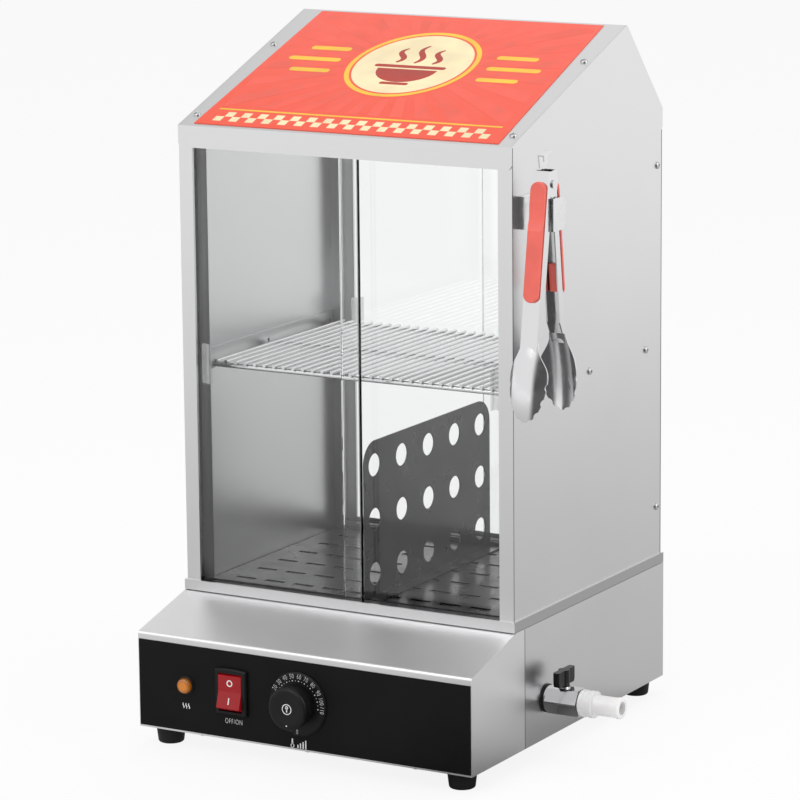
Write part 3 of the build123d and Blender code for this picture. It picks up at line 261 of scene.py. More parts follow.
def bright_metal(name, base, roughness):
    """Polished metal with faint wear and a soft wave in its surface."""
    recipe = Recipe(name, base, roughness, metallic=1.0)
    wear = recipe.noise(160.0, 4.0)
    recipe.vary_roughness(wear, roughness * 0.7, roughness * 1.5)
    recipe.bump(recipe.noise(45.0, 1.0), 0.12, 0.00012)
    return recipe.material


def moulded(name, base, roughness, grain=2600.0, height=0.00003, gloss=0.5):
    """Moulded plastic or rubber with a fine texture and a slightly uneven gloss."""
    recipe = Recipe(name, base, roughness)
    recipe.set({"Specular IOR Level": gloss})
    recipe.vary_roughness(recipe.noise(70.0, 3.0), roughness * 0.86, roughness * 1.15)
    recipe.vary_colour(recipe.noise(35.0, 2.0), shade(base, 0.92), shade(base, 1.08))
    recipe.bump(recipe.noise(grain, 2.0), 0.25, height)
    return recipe.material


def clear(name, tint, roughness, index):
    """Clear glass or acrylic with the faintest ripple."""
    recipe = Recipe(name, tint, roughness)
    recipe.set({"Transmission Weight": 1.0, "IOR": index})
    recipe.bump(recipe.noise(6.0, 1.0), 0.05, 0.0004)
    return recipe.material


def frosted(name, tint, opacity):
    """Clear moulding that shows as a faint pale block in front of what is behind it."""
    recipe = Recipe(name, tint, 0.12)
    recipe.set({"Alpha": opacity, "IOR": 1.49})
    recipe.vary_roughness(recipe.noise(120.0, 2.0), 0.09, 0.16)
    recipe.bump(recipe.noise(60.0, 1.0), 0.1, 0.0002)
    return recipe.material


def lens_plastic():
    """Amber lens of the pilot lamp, darker towards its rim and with fine rings moulded in."""
    amber = finish().lens
    recipe = Recipe("lamp_lens", amber, 0.16)
    recipe.set({"Transmission Weight": 0.25, "Emission Color": (1.0, 0.30, 0.015, 1.0),
                "Emission Strength": 0.12, "Coat Weight": 0.6})
    low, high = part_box("lamp_lens")
    middle, reach = (low + high) / 2, (high.x - low.x) / 2
    from_middle = recipe.vector("SUBTRACT", "Vector", recipe.space, (middle.x, 0.0, middle.z))
    flat = recipe.vector("MULTIPLY", "Vector", from_middle, (1.0, 0.0, 1.0))
    away = recipe.between(recipe.vector("LENGTH", "Value", flat), 0.0, 1.0, reach * 0.35, reach)
    recipe.vary_colour(away, amber, shade(amber, 0.30), 0.15, 0.9)
    rings = recipe.node("ShaderNodeTexWave", {"Vector": recipe.space, "Scale": 420.0, "Distortion": 1.5})
    recipe.bump(rings.outputs["Fac"], 0.35, 0.0003)
    return recipe.material


def rocker_plastic():
    """Translucent red plastic with a faint glow."""
    recipe = Recipe("rocker_plastic", finish().rocker, 0.13)
    recipe.set({"Transmission Weight": 0.12, "Emission Color": (0.9, 0.012, 0.02, 1.0),
                "Emission Strength": 0.05, "Specular IOR Level": 0.35, "Coat Weight": 0.15})
    recipe.vary_roughness(recipe.noise(90.0, 2.0), 0.16, 0.26)
    recipe.bump(recipe.noise(300.0, 2.0), 0.15, 0.0001)
    return recipe.material


def shared(name, *finish_of, **more):
    """A moulded material that several pieces use, made once."""
    return bpy.data.materials.get(name) or moulded(name, *finish_of, **more)


def coat(names, material):
    """Give a material to CAD nodes as they are."""
    for name in names:
        if not NODES[name].data.materials:
            NODES[name].data.materials.append(material)
        for slot in NODES[name].material_slots:
            slot.link = "OBJECT"
            slot.material = material


# ---- mesh making ----
def add_object(name, data):
    made = bpy.data.objects.new(name, data)
    bpy.context.scene.collection.objects.link(made)
    return made


def from_bmesh(build, name, smooth_angle=None):
    bmesh.ops.recalc_face_normals(build, faces=build.faces)
    mesh = bpy.data.meshes.new(name)
    build.to_mesh(mesh)
    build.free()
    if smooth_angle is not None:
        mesh.shade_smooth()
        mesh.set_sharp_from_angle(angle=math.radians(smooth_angle))
    return mesh


def place_piece(build, name, material, body, matrix=None, smooth_angle=None):
    """Put what was built into the scene on its body, with its finish."""
    mesh = from_bmesh(build, name, smooth_angle)
    if matrix is not None:
        mesh.transform(matrix)
    mesh.materials.append(material)
    piece = add_object(name, mesh)
    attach(piece, body)
    return piece


def facing(origin, right, up):
    """Axes of a surface to print on: right and up lie in it, +Z points out of it."""
    right, up = Vector(right).normalized(), Vector(up).normalized()
    out = right.cross(up)
    matrix = Matrix((right, up, out)).transposed().to_4x4()
    matrix.translation = Vector(origin)
    return matrix


def on_front(x, y, z):
    """Axes to print on an upright surface that faces the front."""
    return facing((x, y, z), (1, 0, 0), (0, 0, 1))


def on_circle(radius, turn, x=0.0, y=0.0):
    return x + radius * math.cos(turn), y + radius * math.sin(turn)


def circle(x, y, radius, steps):
    return [on_circle(radius, 2 * math.pi * i / steps, x, y) for i in range(steps)]


def bridge(build, lower, upper):
    """Faces between two closed rows of as many points."""
    for i in range(len(lower)):
        j = (i + 1) % len(lower)
        build.faces.new((lower[i], lower[j], upper[j], upper[i]))


def add_plate(build, outline, thickness):
    """A flat closed outline given as (x, y), as a thin plate on z = 0."""
    lower = [build.verts.new((x, y, 0.0)) for x, y in outline]
    upper = [build.verts.new((x, y, thickness)) for x, y in outline]
    build.faces.new(lower[::-1])
    build.faces.new(upper)
    bridge(build, lower, upper)


def add_ring(build, x, y, outer, inner, thickness, steps=48):
    """A flat ring with a round hole."""
    rows = [[build.verts.new((*point, z)) for point in circle(x, y, radius, steps)]
            for radius, z in ((inner, 0.0), (outer, 0.0), (outer, thickness), (inner, thickness))]
    for k in range(4):
        bridge(build, rows[k], rows[(k + 1) % 4])


def bar(x0, y0, x1, y1, width, steps=8):
    """Outline of a straight bar with round ends."""
    heading = math.atan2(y1 - y0, x1 - x0)
    outline = []
    for cx, cy, start in ((x1, y1, heading - math.pi / 2), (x0, y0, heading + math.pi / 2)):
        outline += [on_circle(width / 2, start + math.pi * i / steps, cx, cy) for i in range(steps + 1)]
    return outline


def curl(x, y, height, sway, width, steps=28):
    """Outline of a rising S-shaped curl that narrows to a quarter of its width at both ends."""
    left, right = [], []
    for i in range(steps + 1):
        t = i / steps
        cx = x + sway * math.sin(2 * math.pi * t)
        slope = math.atan2(height, sway * 2 * math.pi * math.cos(2 * math.pi * t))
        half = width / 2 * (0.25 + 0.75 * math.sin(math.pi * min(1.0, t * 0.9 + 0.08)))
        nx, ny = -math.sin(slope) * half, math.cos(slope) * half
        left.append((cx + nx, y + height * t + ny))
        right.append((cx - nx, y + height * t - ny))
    return right + left[::-1]


CAPITAL_SHARE = 0.72          # height of a capital as a share of the lettering's size
LETTER_SPACING = 1.12         # as a share of the plain face's spacing
STROKE_OFFSET = -0.018        # how far strokes are drawn in, as a share of the size


def add_text(build, words, height, x, y, turn, thickness):
    """Plain lettering, centred on (x, y) and turned about that point."""
    curve = bpy.data.curves.new("lettering", "FONT")
    curve.body = words
    curve.size = height / CAPITAL_SHARE
    curve.space_character = LETTER_SPACING
    curve.offset = STROKE_OFFSET * curve.size
    curve.align_x = curve.align_y = "CENTER"
    curve.extrude = thickness / 2
    curve.resolution_u = 3
    holder = bpy.data.objects.new("lettering", curve)
    mesh = bpy.data.meshes.new_from_object(holder)
    narrow = Matrix.Diagonal((detail().condensed, 1.0, 1.0, 1.0))
    mesh.transform(Matrix.Translation((x, y, thickness / 2)) @ Matrix.Rotation(turn, 4, "Z") @ narrow)
    build.from_mesh(mesh)
    bpy.data.objects.remove(holder)
    bpy.data.curves.remove(curve)
    bpy.data.meshes.remove(mesh)


def joint_place(name):
    for joint in frame["joints"]:
        if joint["name"] == name:
            return Vector(joint["pos_m"])
    raise ValueError(f"no joint named {name}")


def islands(node):
    """The separate solids of a node, each as a list of points."""
    build = bmesh.new()
    build.from_mesh(NODES[node].data)
    bmesh.ops.remove_doubles(build, verts=build.verts, dist=1e-6)
    left, found = dict.fromkeys(build.verts), []      # keeps their order, the same in each run
    while left:
        queue, group = [left.popitem()[0]], []
        while queue:
            vert = queue.pop()
            group.append(vert.co.copy())
            for edge in vert.link_edges:
                other = edge.other_vert(vert)
                if other in left:
                    del left[other]
                    queue.append(other)
        found.append(group)
    build.free()
    return found


# ---- seams ----
def seam_strip(build, start, end, across, outward):
    """A flat dark strip from start to end, lying on the sheet that faces outward."""
    start, end = Vector(start), Vector(end)
    half = Vector(across).normalized() * detail().seam_width / 2
    lift = Vector(outward).normalized() * detail().ink
    corners = [start - half, start + half, end + half, end - half]
    lower = [build.verts.new(corner) for corner in corners]
    upper = [build.verts.new(corner + lift) for corner in corners]
    build.faces.new(lower)
    build.faces.new(upper)
    bridge(build, lower, upper)


def seam_shadow_paint():
    """Painted shadow of the narrow gaps between sheets."""
    return shared("seam_shadow", (0.035, 0.035, 0.036), 0.7, gloss=0.1)


def base_seam_shadows():
    """Painted shadow lines on the joints between the control box and the sides of the base, on both sides."""
    low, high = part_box("base_wrap")
    end = 0.0004
    build = bmesh.new()
    for x, side in ((low.x, -1), (high.x, 1)):
        seam_strip(build, (x, low.y, low.z + end), (x, low.y, high.z - end), (0, 1, 0), (side, 0, 0))
    place_piece(build, "base_seam_shadows", seam_shadow_paint(), "base")


def cabinet_seam_shadows():
    """Painted shadow lines on the joints between the front and rear posts with their headers and the
    cabinet's sides.
    """
    low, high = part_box("side_panel_right")
    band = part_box("cabinet_ring")[1].z
    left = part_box("side_panel_left")[0].x
    below_sign = 0.002
    front_top, rear_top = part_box("sign_panel")[0].z - below_sign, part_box("roof_rear")[0].z
    inset = detail().seam_width * 1.4
    build = bmesh.new()
    for x, side in ((left, -1), (high.x, 1)):
        for y, top in ((low.y + inset, front_top), (high.y - inset, rear_top)):
            seam_strip(build, (x, y, band), (x, y, top), (0, 1, 0), (side, 0, 0))
    place_piece(build, "cabinet_seam_shadows", seam_shadow_paint(), "cabinet")


# ---- printed controls ----
def print_white():
    return shared("print_white", finish().print_white, 0.55)


def heat_mark(build, x, y, ink):
    """Three short rising curls: heat."""
    pitch, height, sway, width = 0.0026, 0.0046, 0.0005, 0.0009
    for step in (-1, 0, 1):
        add_plate(build, curl(x + step * pitch, y, height, sway, width), ink)


def thermometer_mark(build, x, y, ink):
    """A small thermometer lying beside a rising row of bars: temperature."""
    bulb_x, bulb, bore = x - 0.006, 0.0017, 0.0011
    stem_foot, stem_top, stem_width = y + 0.0016, y + 0.0052, 0.0013
    add_ring(build, bulb_x, y, bulb, bore, ink, 24)
    add_plate(build, bar(bulb_x, stem_foot, bulb_x, stem_top, stem_width), ink)
    first_x, pitch, width = x - 0.001, 0.0024, 0.0011
    foot, lowest, climb = y - 0.001, y + 0.0008, 0.0014
    for step in range(4):
        bar_x = first_x + step * pitch
        add_plate(build, bar(bar_x, foot, bar_x, lowest + step * climb, width), ink)


def control_marks():
    """White marks on the black film, placed from the lamp, the switch and the dial."""
    under_lamp, under_switch, under_dial = 0.0115, 0.0060, 0.0085
    caption_shift = 0.001
    ink = detail().ink
    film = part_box("control_panel")[0].y
    lamp_low, lamp_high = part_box("lamp_body")
    frame_low, frame_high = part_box("switch_housing")
    disc_low, disc_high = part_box("dial_disc")
    build = bmesh.new()
    heat_mark(build, (lamp_low.x + lamp_high.x) / 2, lamp_low.z - under_lamp, ink)
    add_text(build, "OFF/ON", detail().caption_height, (frame_low.x + frame_high.x) / 2 + caption_shift,
             frame_low.z - under_switch, 0.0, ink)
    thermometer_mark(build, (disc_low.x + disc_high.x) / 2, disc_low.z - under_dial, ink)
    place_piece(build, "control_marks", print_white(), "base", on_front(0, film, 0))


# on the scale disc: where each number stands, in degrees from +X, and radii from its middle
NUMBER_ANGLES = (150, 134, 117.5, 101, 84, 68, 50, 31, 14, -4)
NUMBER_CIRCLE, DOT_CIRCLE = 0.0228, 0.0193
ZERO_DROP, ZERO_DOT_DROP = 0.0222, 0.0190
DOT, SMALL_DOT = 0.0005, 0.0003


def dial_marks():
    """Numbers and dots round the scale disc, and a small zero at its foot."""
    ink, height = detail().ink, detail().number_height
    low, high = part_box("dial_disc")
    build = bmesh.new()
    for index, angle in enumerate(NUMBER_ANGLES):
        turn = math.radians(angle)
        number = str(detail().dial_first + index * detail().dial_step)
        add_text(build, number, height, *on_circle(NUMBER_CIRCLE, turn), turn - math.pi / 2, ink)
        add_plate(build, circle(*on_circle(DOT_CIRCLE, turn), DOT, 16), ink)
        if index:
            middle = math.radians((angle + NUMBER_ANGLES[index - 1]) / 2)
            add_plate(build, circle(*on_circle(DOT_CIRCLE, middle), SMALL_DOT, 12), ink)
    add_text(build, "0", height, 0.0, -ZERO_DROP, 0.0, ink)
    add_plate(build, circle(0.0, -ZERO_DOT_DROP, DOT, 16), ink)
    surface = on_front((low.x + high.x) / 2, low.y, (low.z + high.z) / 2)
    place_piece(build, "dial_marks", print_white(), "base", surface)


def knob_marks():
    """A ringed pointer sign in the knob's dish and a white dot at its rim."""
    dish_depth, dot_drop, dot = 0.00095, 0.0132, 0.0006
    ink = detail().ink
    raised = 3 * ink
    low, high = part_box("knob")
    x, z = (low.x + high.x) / 2, (low.z + high.z) / 2
    sign = bmesh.new()
    add_ring(sign, 0.0, 0.0, 0.0043, 0.0036, raised)
    add_plate(sign, bar(0.0, -0.0020, 0.0, 0.0009, 0.0009), raised)
    add_ring(sign, 0.0, 0.0013, 0.0014, 0.0008, raised, 24)
    pointer = bmesh.new()
    add_plate(pointer, circle(0.0, -dot_drop, dot, 16), ink)
    for name, build, y in (("knob_sign", sign, low.y + dish_depth), ("knob_pointer", pointer, low.y)):
        place_piece(build, name, print_white(), "temperature_knob", on_front(x, y, z))


def rocker_marks():
    """White ring on the upper half of the rocker and white bar on the lower half."""
    half_throw = math.radians(8.0)
    crease_reach = 0.006
    ring_rise, ring_outer, ring_inner = 0.0071, 0.0027, 0.0018
    bar_foot, bar_top, bar_width = -0.0096, -0.0050, 0.0010
    ink = detail().ink
    crease = joint_place("rocker_throw") + Vector((0.0, -crease_reach * math.cos(half_throw),
                                                   crease_reach * math.sin(half_throw)))
    tilted_up = (0, math.sin(2 * half_throw), math.cos(2 * half_throw))
    ring = bmesh.new()
    add_ring(ring, 0.0, ring_rise, ring_outer, ring_inner, ink, 40)
    stroke = bmesh.new()
    add_plate(stroke, bar(0.0, bar_foot, 0.0, bar_top, bar_width), ink)
    for name, build, up in (("rocker_ring", ring, (0, 0, 1)), ("rocker_bar", stroke, tilted_up)):
        place_piece(build, name, print_white(), "switch_rocker", facing(crease, (1, 0, 0), up))


# ---- sign ----
SIGN_THICKNESS = 0.0005


def sign_surface():
    """Axes of the sign's face, its half width and its length up the slope."""
    low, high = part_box("sign_panel")
    slope = math.atan2(high.z - low.z, high.y - low.y)
    for _ in range(4):        # slope and thickness depend on each other, and this settles them
        slope = math.atan2(high.z - low.z - SIGN_THICKNESS * math.cos(slope),
                           high.y - low.y - SIGN_THICKNESS * math.sin(slope))
    foot = ((low.x + high.x) / 2, low.y, low.z + SIGN_THICKNESS * math.cos(slope))
    run = math.hypot(high.y - SIGN_THICKNESS * math.sin(slope) - low.y, high.z - foot[2])
    return facing(foot, (1, 0, 0), (0, math.cos(slope), math.sin(slope))), (high.x - low.x) / 2, run


def sign_paint():
    """Coral print that lightens towards the ridge, with a fine screen-print grain."""
    low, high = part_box("sign_panel")
    recipe = Recipe("sign_print", finish().sign_low, 0.38)
    height = recipe.node("ShaderNodeSeparateXYZ", {"Vector": recipe.space}).outputs["Z"]
    climb = recipe.between(height, 0.0, 1.0, low.z, high.z)
    recipe.vary_colour(climb, finish().sign_low, finish().sign_high, 0.0, 1.0)
    recipe.vary_roughness(recipe.noise(60.0, 3.0), 0.33, 0.44)
    recipe.bump(recipe.noise(2200.0, 2.0), 0.12, 0.00002)
    return recipe.material


def print_on_sign(name, build, ink, surface, level=0.0):
    """One colour of the sign's design."""
    raised = surface @ Matrix.Translation((0, 0, level))
    place_piece(build, name, ink, "cabinet", raised)


def clipped(outline, half_width, low, high):
    """The part of an outline that lies inside a rectangle about the middle."""
    for axis, limit, way in ((0, half_width, 1), (0, -half_width, -1), (1, high, 1), (1, low, -1)):
        kept = []
        for i, point in enumerate(outline):
            before = outline[i - 1]
            inside, was_inside = (way * p[axis] <= way * limit for p in (point, before))
            if inside != was_inside:
                share = (limit - before[axis]) / (point[axis] - before[axis])
                kept.append(tuple(b + (a - b) * share for a, b in zip(point, before)))
            if inside:
                kept.append(point)
        outline = kept
    return outline


# along and up the sign's face, from the middle of its lower edge
BADGE_PLACE = 0.585           # middle of the badge, as a share of the way up
SIDE_EDGE, TOP_EDGE = 0.010, 0.008
RAY_COUNT, RAY_START, RAY_END, RAY_FOOT = 28, 0.060, 0.30, 0.030
CHECK_FOOT, CHECK_ROWS = 0.006, 2
RULE_HEIGHT, RULE_WIDTH = 0.0255, 0.0022
BADGE, BADGE_RIM_INNER, BADGE_RIM_OUTER = 0.0500, 0.0520, 0.0560
BAR_START, BAR_END, BAR_STEP, BAR_PITCH, BAR_WIDTH = 0.070, 0.112, 0.011, 0.019, 0.0062
BOWL, BOWL_DEPTH, BOWL_DROP, BOWL_SINK = 0.027, 0.022, 0.006, 0.003
RIM_REACH, RIM_RISE, RIM_WIDTH = 0.030, 0.0015, 0.0046
FOOT_REACH, FOOT_DROP, FOOT_WIDTH = 0.011, 0.0275, 0.0040
STEAM_PITCH, STEAM_FOOT, STEAM_SWAY = 0.0165, 0.0080, 0.0036
STEAM_RISE, STEAM_RISE_MIDDLE = 0.024, 0.030


def sign_rays(middle_y, side, run, ink):
    """Rays from the badge to the edges of the design."""
    rays = bmesh.new()
    spread = math.pi / RAY_COUNT * 0.5
    for i in range(RAY_COUNT):
        turn = 2 * math.pi * (i + 0.5) / RAY_COUNT
        corners = [on_circle(radius, turn + way * spread, 0.0, middle_y)
                   for radius, way in ((RAY_START, -1), (RAY_END, -1), (RAY_END, 1), (RAY_START, 1))]
        ray = clipped(corners, side, RAY_FOOT, run - TOP_EDGE)
        if len(ray) > 2:
            add_plate(rays, ray, ink)
    return rays


def sign_border(side, ink):
    """Rows of checks along the foot of the design."""
    border = bmesh.new()
    size = detail().check_size
    columns = int(2 * side / size)
    start = -columns * size / 2
    for row in range(CHECK_ROWS):
        for column in range(row % 2, columns, 2):
            x, y = start + column * size, CHECK_FOOT + row * size
            add_plate(border, [(x, y), (x + size, y), (x + size, y + size), (x, y + size)], ink)
    return border


def sign_bars(middle_y, side, ink):
    """The ring round the badge, the rule over the border and three bars on each side."""
    bars = bmesh.new()
    add_ring(bars, 0.0, middle_y, BADGE_RIM_OUTER, BADGE_RIM_INNER, ink, 96)
    add_plate(bars, bar(-side, RULE_HEIGHT, side, RULE_HEIGHT, RULE_WIDTH), ink)
    for way in (-1, 1):
        for step in (-1, 0, 1):
            y = middle_y + step * BAR_PITCH
            reach = BAR_END - BAR_STEP * abs(step)
            add_plate(bars, bar(way * BAR_START, y, way * reach, y, BAR_WIDTH), ink)
    return bars


def sign_bowl(middle_y, ink):
    """A bowl seen from the side with three curls of steam."""
    bowl = bmesh.new()
    base_y, steps = middle_y - BOWL_DROP, 32
    turns = [math.pi * (1 + i / steps) for i in range(steps + 1)]
    add_plate(bowl, [(BOWL * math.cos(t), base_y - BOWL_SINK + BOWL_DEPTH * math.sin(t)) for t in turns], ink)
    rim_y, foot_y = base_y + RIM_RISE, base_y - FOOT_DROP
    add_plate(bowl, bar(-RIM_REACH, rim_y, RIM_REACH, rim_y, RIM_WIDTH), ink)
    add_plate(bowl, bar(-FOOT_REACH, foot_y, FOOT_REACH, foot_y, FOOT_WIDTH), ink)
    for step in (-1, 0, 1):
        rise = STEAM_RISE if step else STEAM_RISE_MIDDLE
        foot = (step * STEAM_PITCH, base_y + STEAM_FOOT)
        add_plate(bowl, curl(*foot, rise, STEAM_SWAY, detail().steam_width), ink)
    return bowl


def sign_design():
    """A steaming bowl in a round badge over rays, with a checked border: a generic design."""
    surface, half_width, run = sign_surface()
    ink, colours = detail().ink, finish()
    cream = moulded("sign_cream", colours.sign_cream, 0.42)
    yellow = moulded("sign_yellow", colours.sign_yellow, 0.42)
    brick = moulded("sign_brick", colours.sign_brick, 0.42)
    glow = moulded("sign_glow", colours.sign_high, 0.42)
    middle_y = run * BADGE_PLACE
    side = half_width - SIDE_EDGE
    print_on_sign("sign_rays", sign_rays(middle_y, side, run, ink), glow, surface)
    print_on_sign("sign_border", sign_border(side, ink), cream, surface)
    print_on_sign("sign_bars", sign_bars(middle_y, side, ink), yellow, surface, ink)
    badge = bmesh.new()
    add_plate(badge, circle(0.0, middle_y, BADGE, 96), ink)
    print_on_sign("sign_badge", badge, cream, surface, ink)
    print_on_sign("sign_bowl", sign_bowl(middle_y, ink), brick, surface, 2 * ink)


# ---- screws ----
SCREW_RADIUS, SCREW_RISE = 0.003, 0.0018
SCREW_TURN = 0.7              # each screw's recess is turned on by this from the last one's
REAR_ROOF_SLOPE = math.atan2(0.0721, 0.0632)      # of its drop over its depth


def screw_head(radius, rise):
    """A domed pan head, its seat on z = 0."""
    build = bmesh.new()
    steps, rings = 40, 7
    skirt, dome, fullness = 0.42, 0.58, 0.8
    profile = [(radius, 0.0), (radius, rise * skirt)]
    profile += [(radius * math.cos(t) ** fullness, rise * (skirt + dome * math.sin(t)))
                for t in [math.pi / 2 * k / rings for k in range(1, rings)]]
    rows = [[build.verts.new((*point, z)) for point in circle(0.0, 0.0, r, steps)] for r, z in profile]
    for lower, upper in zip(rows, rows[1:]):
        bridge(build, lower, upper)
    build.faces.new(rows[-1])
    build.faces.new(rows[0][::-1])
    return from_bmesh(build, "screw_head", 40)


def cross_cutter(rise):
    """The tapered cross that is cut into a head."""
    build = bmesh.new()
    width, depth = detail().recess_width, detail().recess_depth
    reach = 3.0 * width / 2 * 1.25
    foot = (rise - depth, reach * 0.45, width * 0.32)
    mouth = (rise * 1.2, reach, width * 0.5)
    for turn in (0.0, math.pi / 2):
        corner = []
        for z, half_length, half_width in (foot, mouth):
            for x, y in ((-1, -1), (1, -1), (1, 1), (-1, 1)):
                point = Vector((x * half_length, y * half_width, z))
                corner.append(build.verts.new(Matrix.Rotation(turn, 3, "Z") @ point))
        for face in ((3, 2, 1, 0), (4, 5, 6, 7), (0, 1, 5, 4), (1, 2, 6, 5), (2, 3, 7, 6), (3, 0, 4, 7)):
            build.faces.new([corner[i] for i in face])
    return from_bmesh(build, "cross_cutter")


def recessed_head(radius, rise):
    """One screw head with its recess cut."""
    head = add_object("head", screw_head(radius, rise))
    cutter = add_object("cutter", cross_cutter(rise))
    boolean = head.modifiers.new("recess", "BOOLEAN")
    boolean.object = cutter
    boolean.operation = "DIFFERENCE"
    boolean.solver = "EXACT"
    boolean.use_self = True
    result = bpy.data.meshes.new_from_object(head.evaluated_get(bpy.context.evaluated_depsgraph_get()))
    bpy.data.objects.remove(head)
    bpy.data.objects.remove(cutter)
    return result


def screw_top(points, outward):
    """The middle of a screw's head, level with its top."""
    head_depth = 0.0019
    top = max(p.dot(outward) for p in points)
    ring = [p for p in points if p.dot(outward) > top - head_depth]
    middle = sum(ring, Vector()) / len(ring)
    return middle + outward * (top - middle.dot(outward))


def outward_of(points):
    """Direction in which a screw points out, from its narrow end to its wide one."""
    widest_head, widest_shank = 0.0034, 0.0022
    centre = sum(points, Vector()) / len(points)

    def spread(axis):
        return max((p - centre).cross(axis).length for p in points)

    axis = min(screw_axes(), key=spread)
    if spread(axis) >= widest_head:
        raise ValueError(f"no axis fits the screw at {tuple(centre)}")
    wide = [p for p in points if (p - centre).cross(axis).length > widest_shank]
    way = sum(wide, Vector()) / len(wide) - centre
    return axis if way.dot(axis) > 0 else -axis


def screw_axes():
    """The directions that the cabinet's and the base's screws stand in."""
    front_roof = sign_surface()[0].col[2].to_3d()
    rear_roof = Vector((0, math.sin(REAR_ROOF_SLOPE), math.cos(REAR_ROOF_SLOPE)))
    return [Vector((1, 0, 0)), Vector((0, 0, 1)), front_roof, rear_roof]


def screws_of(node, body, name):
    """Replace a node's plain screws with recessed ones in the same places."""
    head = recessed_head(SCREW_RADIUS, SCREW_RISE)
    build = bmesh.new()
    for index, points in enumerate(islands(node)):
        outward = outward_of(points)
        top = screw_top(points, outward)
        side = outward.orthogonal()
        side.rotate(Matrix.Rotation(SCREW_TURN * index, 3, outward))
        place = facing(top - outward * SCREW_RISE, side, outward.cross(side))
        one = head.copy()
        one.transform(place)
        build.from_mesh(one)
        bpy.data.meshes.remove(one)
    bpy.data.meshes.remove(head)
    piece = place_piece(build, name, bpy.data.materials["screw_plating"], body,
                        smooth_angle=35)
    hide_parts(node)


# ---- operators ----
class STEAMER_OT_sheet_metal(bpy.types.Operator):
    """Brushed stainless finish for the base, the cabinet's walls and the roof"""
    bl_idname = "steamer.sheet_metal"
    bl_label = "Sheet metal"

    def execute(self, context):
        steel, rough, grain = finish().steel, finish().steel_roughness, finish().grain_pitch
        coat(["side_panel_left", "side_panel_right", "base_wrap", "front_left_post", "front_right_post",
              "rear_left_post", "rear_right_post"], brushed_sheet("steel_upright", steel, rough, "Z", grain))
        coat(["roof_front", "roof_rear", "bottom_plate", "rack_bracket_left", "rack_bracket_right"],
             brushed_sheet("steel_across", steel, rough, "X", grain))
        # painted light: the control box takes a lighter copy of the steel, lifting its slope where it mirrors
        # the dark cabinet
        coat(["control_box"], brushed_sheet("steel_box_painted_light", shade(steel, 1.11), rough * 1.45, "X", grain))
        coat(["cabinet_ring"], band_steel_painted_shade(steel, rough, grain))
        coat(["water_tank"], brushed_sheet("steel_tank", shade(steel, 0.92), rough * 0.9, "Y", grain * 1.5))
        base_seam_shadows()
        cabinet_seam_shadows()
        return {"FINISHED"}


class STEAMER_OT_sign(bpy.types.Operator):
    """Printed sign on the front roof with its generic design"""
    bl_idname = "steamer.sign"
    bl_label = "Sign"

    def execute(self, context):
        coat(["sign_panel"], sign_paint())
        sign_design()
        return {"FINISHED"}


class STEAMER_OT_doors(bpy.types.Operator):
    """Glass of the four sliding doors, their clear pulls and their tracks"""
    bl_idname = "steamer.doors"
    bl_label = "Doors"

    def execute(self, context):
        places = ("front_left", "front_right", "rear_left", "rear_right")
        coat([f"{place}_door" for place in places], clear("door_glass", (0.98, 0.99, 0.985), 0.0, 1.48))
        coat([f"{place}_pull" for place in places], frosted("clear_plastic", (0.80, 0.82, 0.82), 0.26))
        coat(["front_sill_track", "front_head_track", "rear_sill_track", "rear_head_track"],
             moulded("track_plastic", (0.030, 0.030, 0.032), 0.42))
        return {"FINISHED"}


class STEAMER_OT_controls(bpy.types.Operator):
    """Black film, pilot lamp, rocker switch, scale disc and knob with their marks"""
    bl_idname = "steamer.controls"
    bl_label = "Controls"

    def execute(self, context):
        coat(["control_panel"], moulded("panel_film", finish().panel, 0.42, 3200.0, 0.000015, 0.12))
        coat(["lamp_body", "switch_housing", "dial_disc", "knob"],
             moulded("black_moulding", finish().moulding, 0.36, gloss=0.22))
        coat(["lamp_lens"], lens_plastic())
        coat(["rocker"], rocker_plastic())
        control_marks()
        dial_marks()
        knob_marks()
        rocker_marks()
        return {"FINISHED"}


class STEAMER_OT_screws(bpy.types.Operator):
    """Cross-recessed pan heads in place of the plain screws"""
    bl_idname = "steamer.screws"
    bl_label = "Screws"

    def execute(self, context):
        bright_metal("screw_plating", shade(finish().bright, 0.72), 0.16)
        screws_of("cabinet_screws", "cabinet", "cabinet_screw_heads")
        screws_of("base_screws", "base", "base_screw_heads")
        return {"FINISHED"}


class STEAMER_OT_feet(bpy.types.Operator):
    """Matt rubber feet"""
    bl_idname = "steamer.feet"
    bl_label = "Feet"

    def execute(self, context):
        coat(["rubber_feet"], moulded("foot_rubber", finish().rubber, 0.55, 1400.0, 0.00006, 0.25))
        return {"FINISHED"}


class STEAMER_OT_drain(bpy.types.Operator):
    """Plated valve with its seal, black handle and white hose tail"""
    bl_idname = "steamer.drain"
    bl_label = "Drain valve"

    def execute(self, context):
        coat(["valve_body", "valve_ball"], bright_metal("valve_plating", shade(finish().bright, 0.85), 0.12))
        coat(["drain_gasket"], moulded("seal_rubber", finish().rubber, 0.5, gloss=0.25))
        coat(["valve_handle"], moulded("handle_plastic", finish().moulding, 0.30, gloss=0.25))
        nylon = moulded("white_nylon", finish().nylon, 0.34, 1800.0, 0.00003)
        inputs = nylon.node_tree.nodes["Principled BSDF"].inputs
        inputs["Subsurface Weight"].default_value, inputs["Subsurface Scale"].default_value = 0.1, 0.002
        coat(["hose_connector"], nylon)
        return {"FINISHED"}


class STEAMER_OT_tray_and_rack(bpy.types.Operator):
    """Dark coated steam tray and divider, and the plated bun rack"""
    bl_idname = "steamer.tray_and_rack"
    bl_label = "Tray and rack"

    def execute(self, context):
        coated = Recipe("tray_coating", finish().tray, 0.30)
        coated.set({"Coat Weight": 0.25})
        coated.vary_roughness(coated.noise(40.0, 4.0), 0.24, 0.40)
        coated.bump(coated.noise(900.0, 2.0), 0.2, 0.00003)
        coat(["hot_dog_tray", "partition"], coated.material)
        coat(["wire_rack"], bright_metal("wire_plating", finish().bright, 0.15))
        return {"FINISHED"}


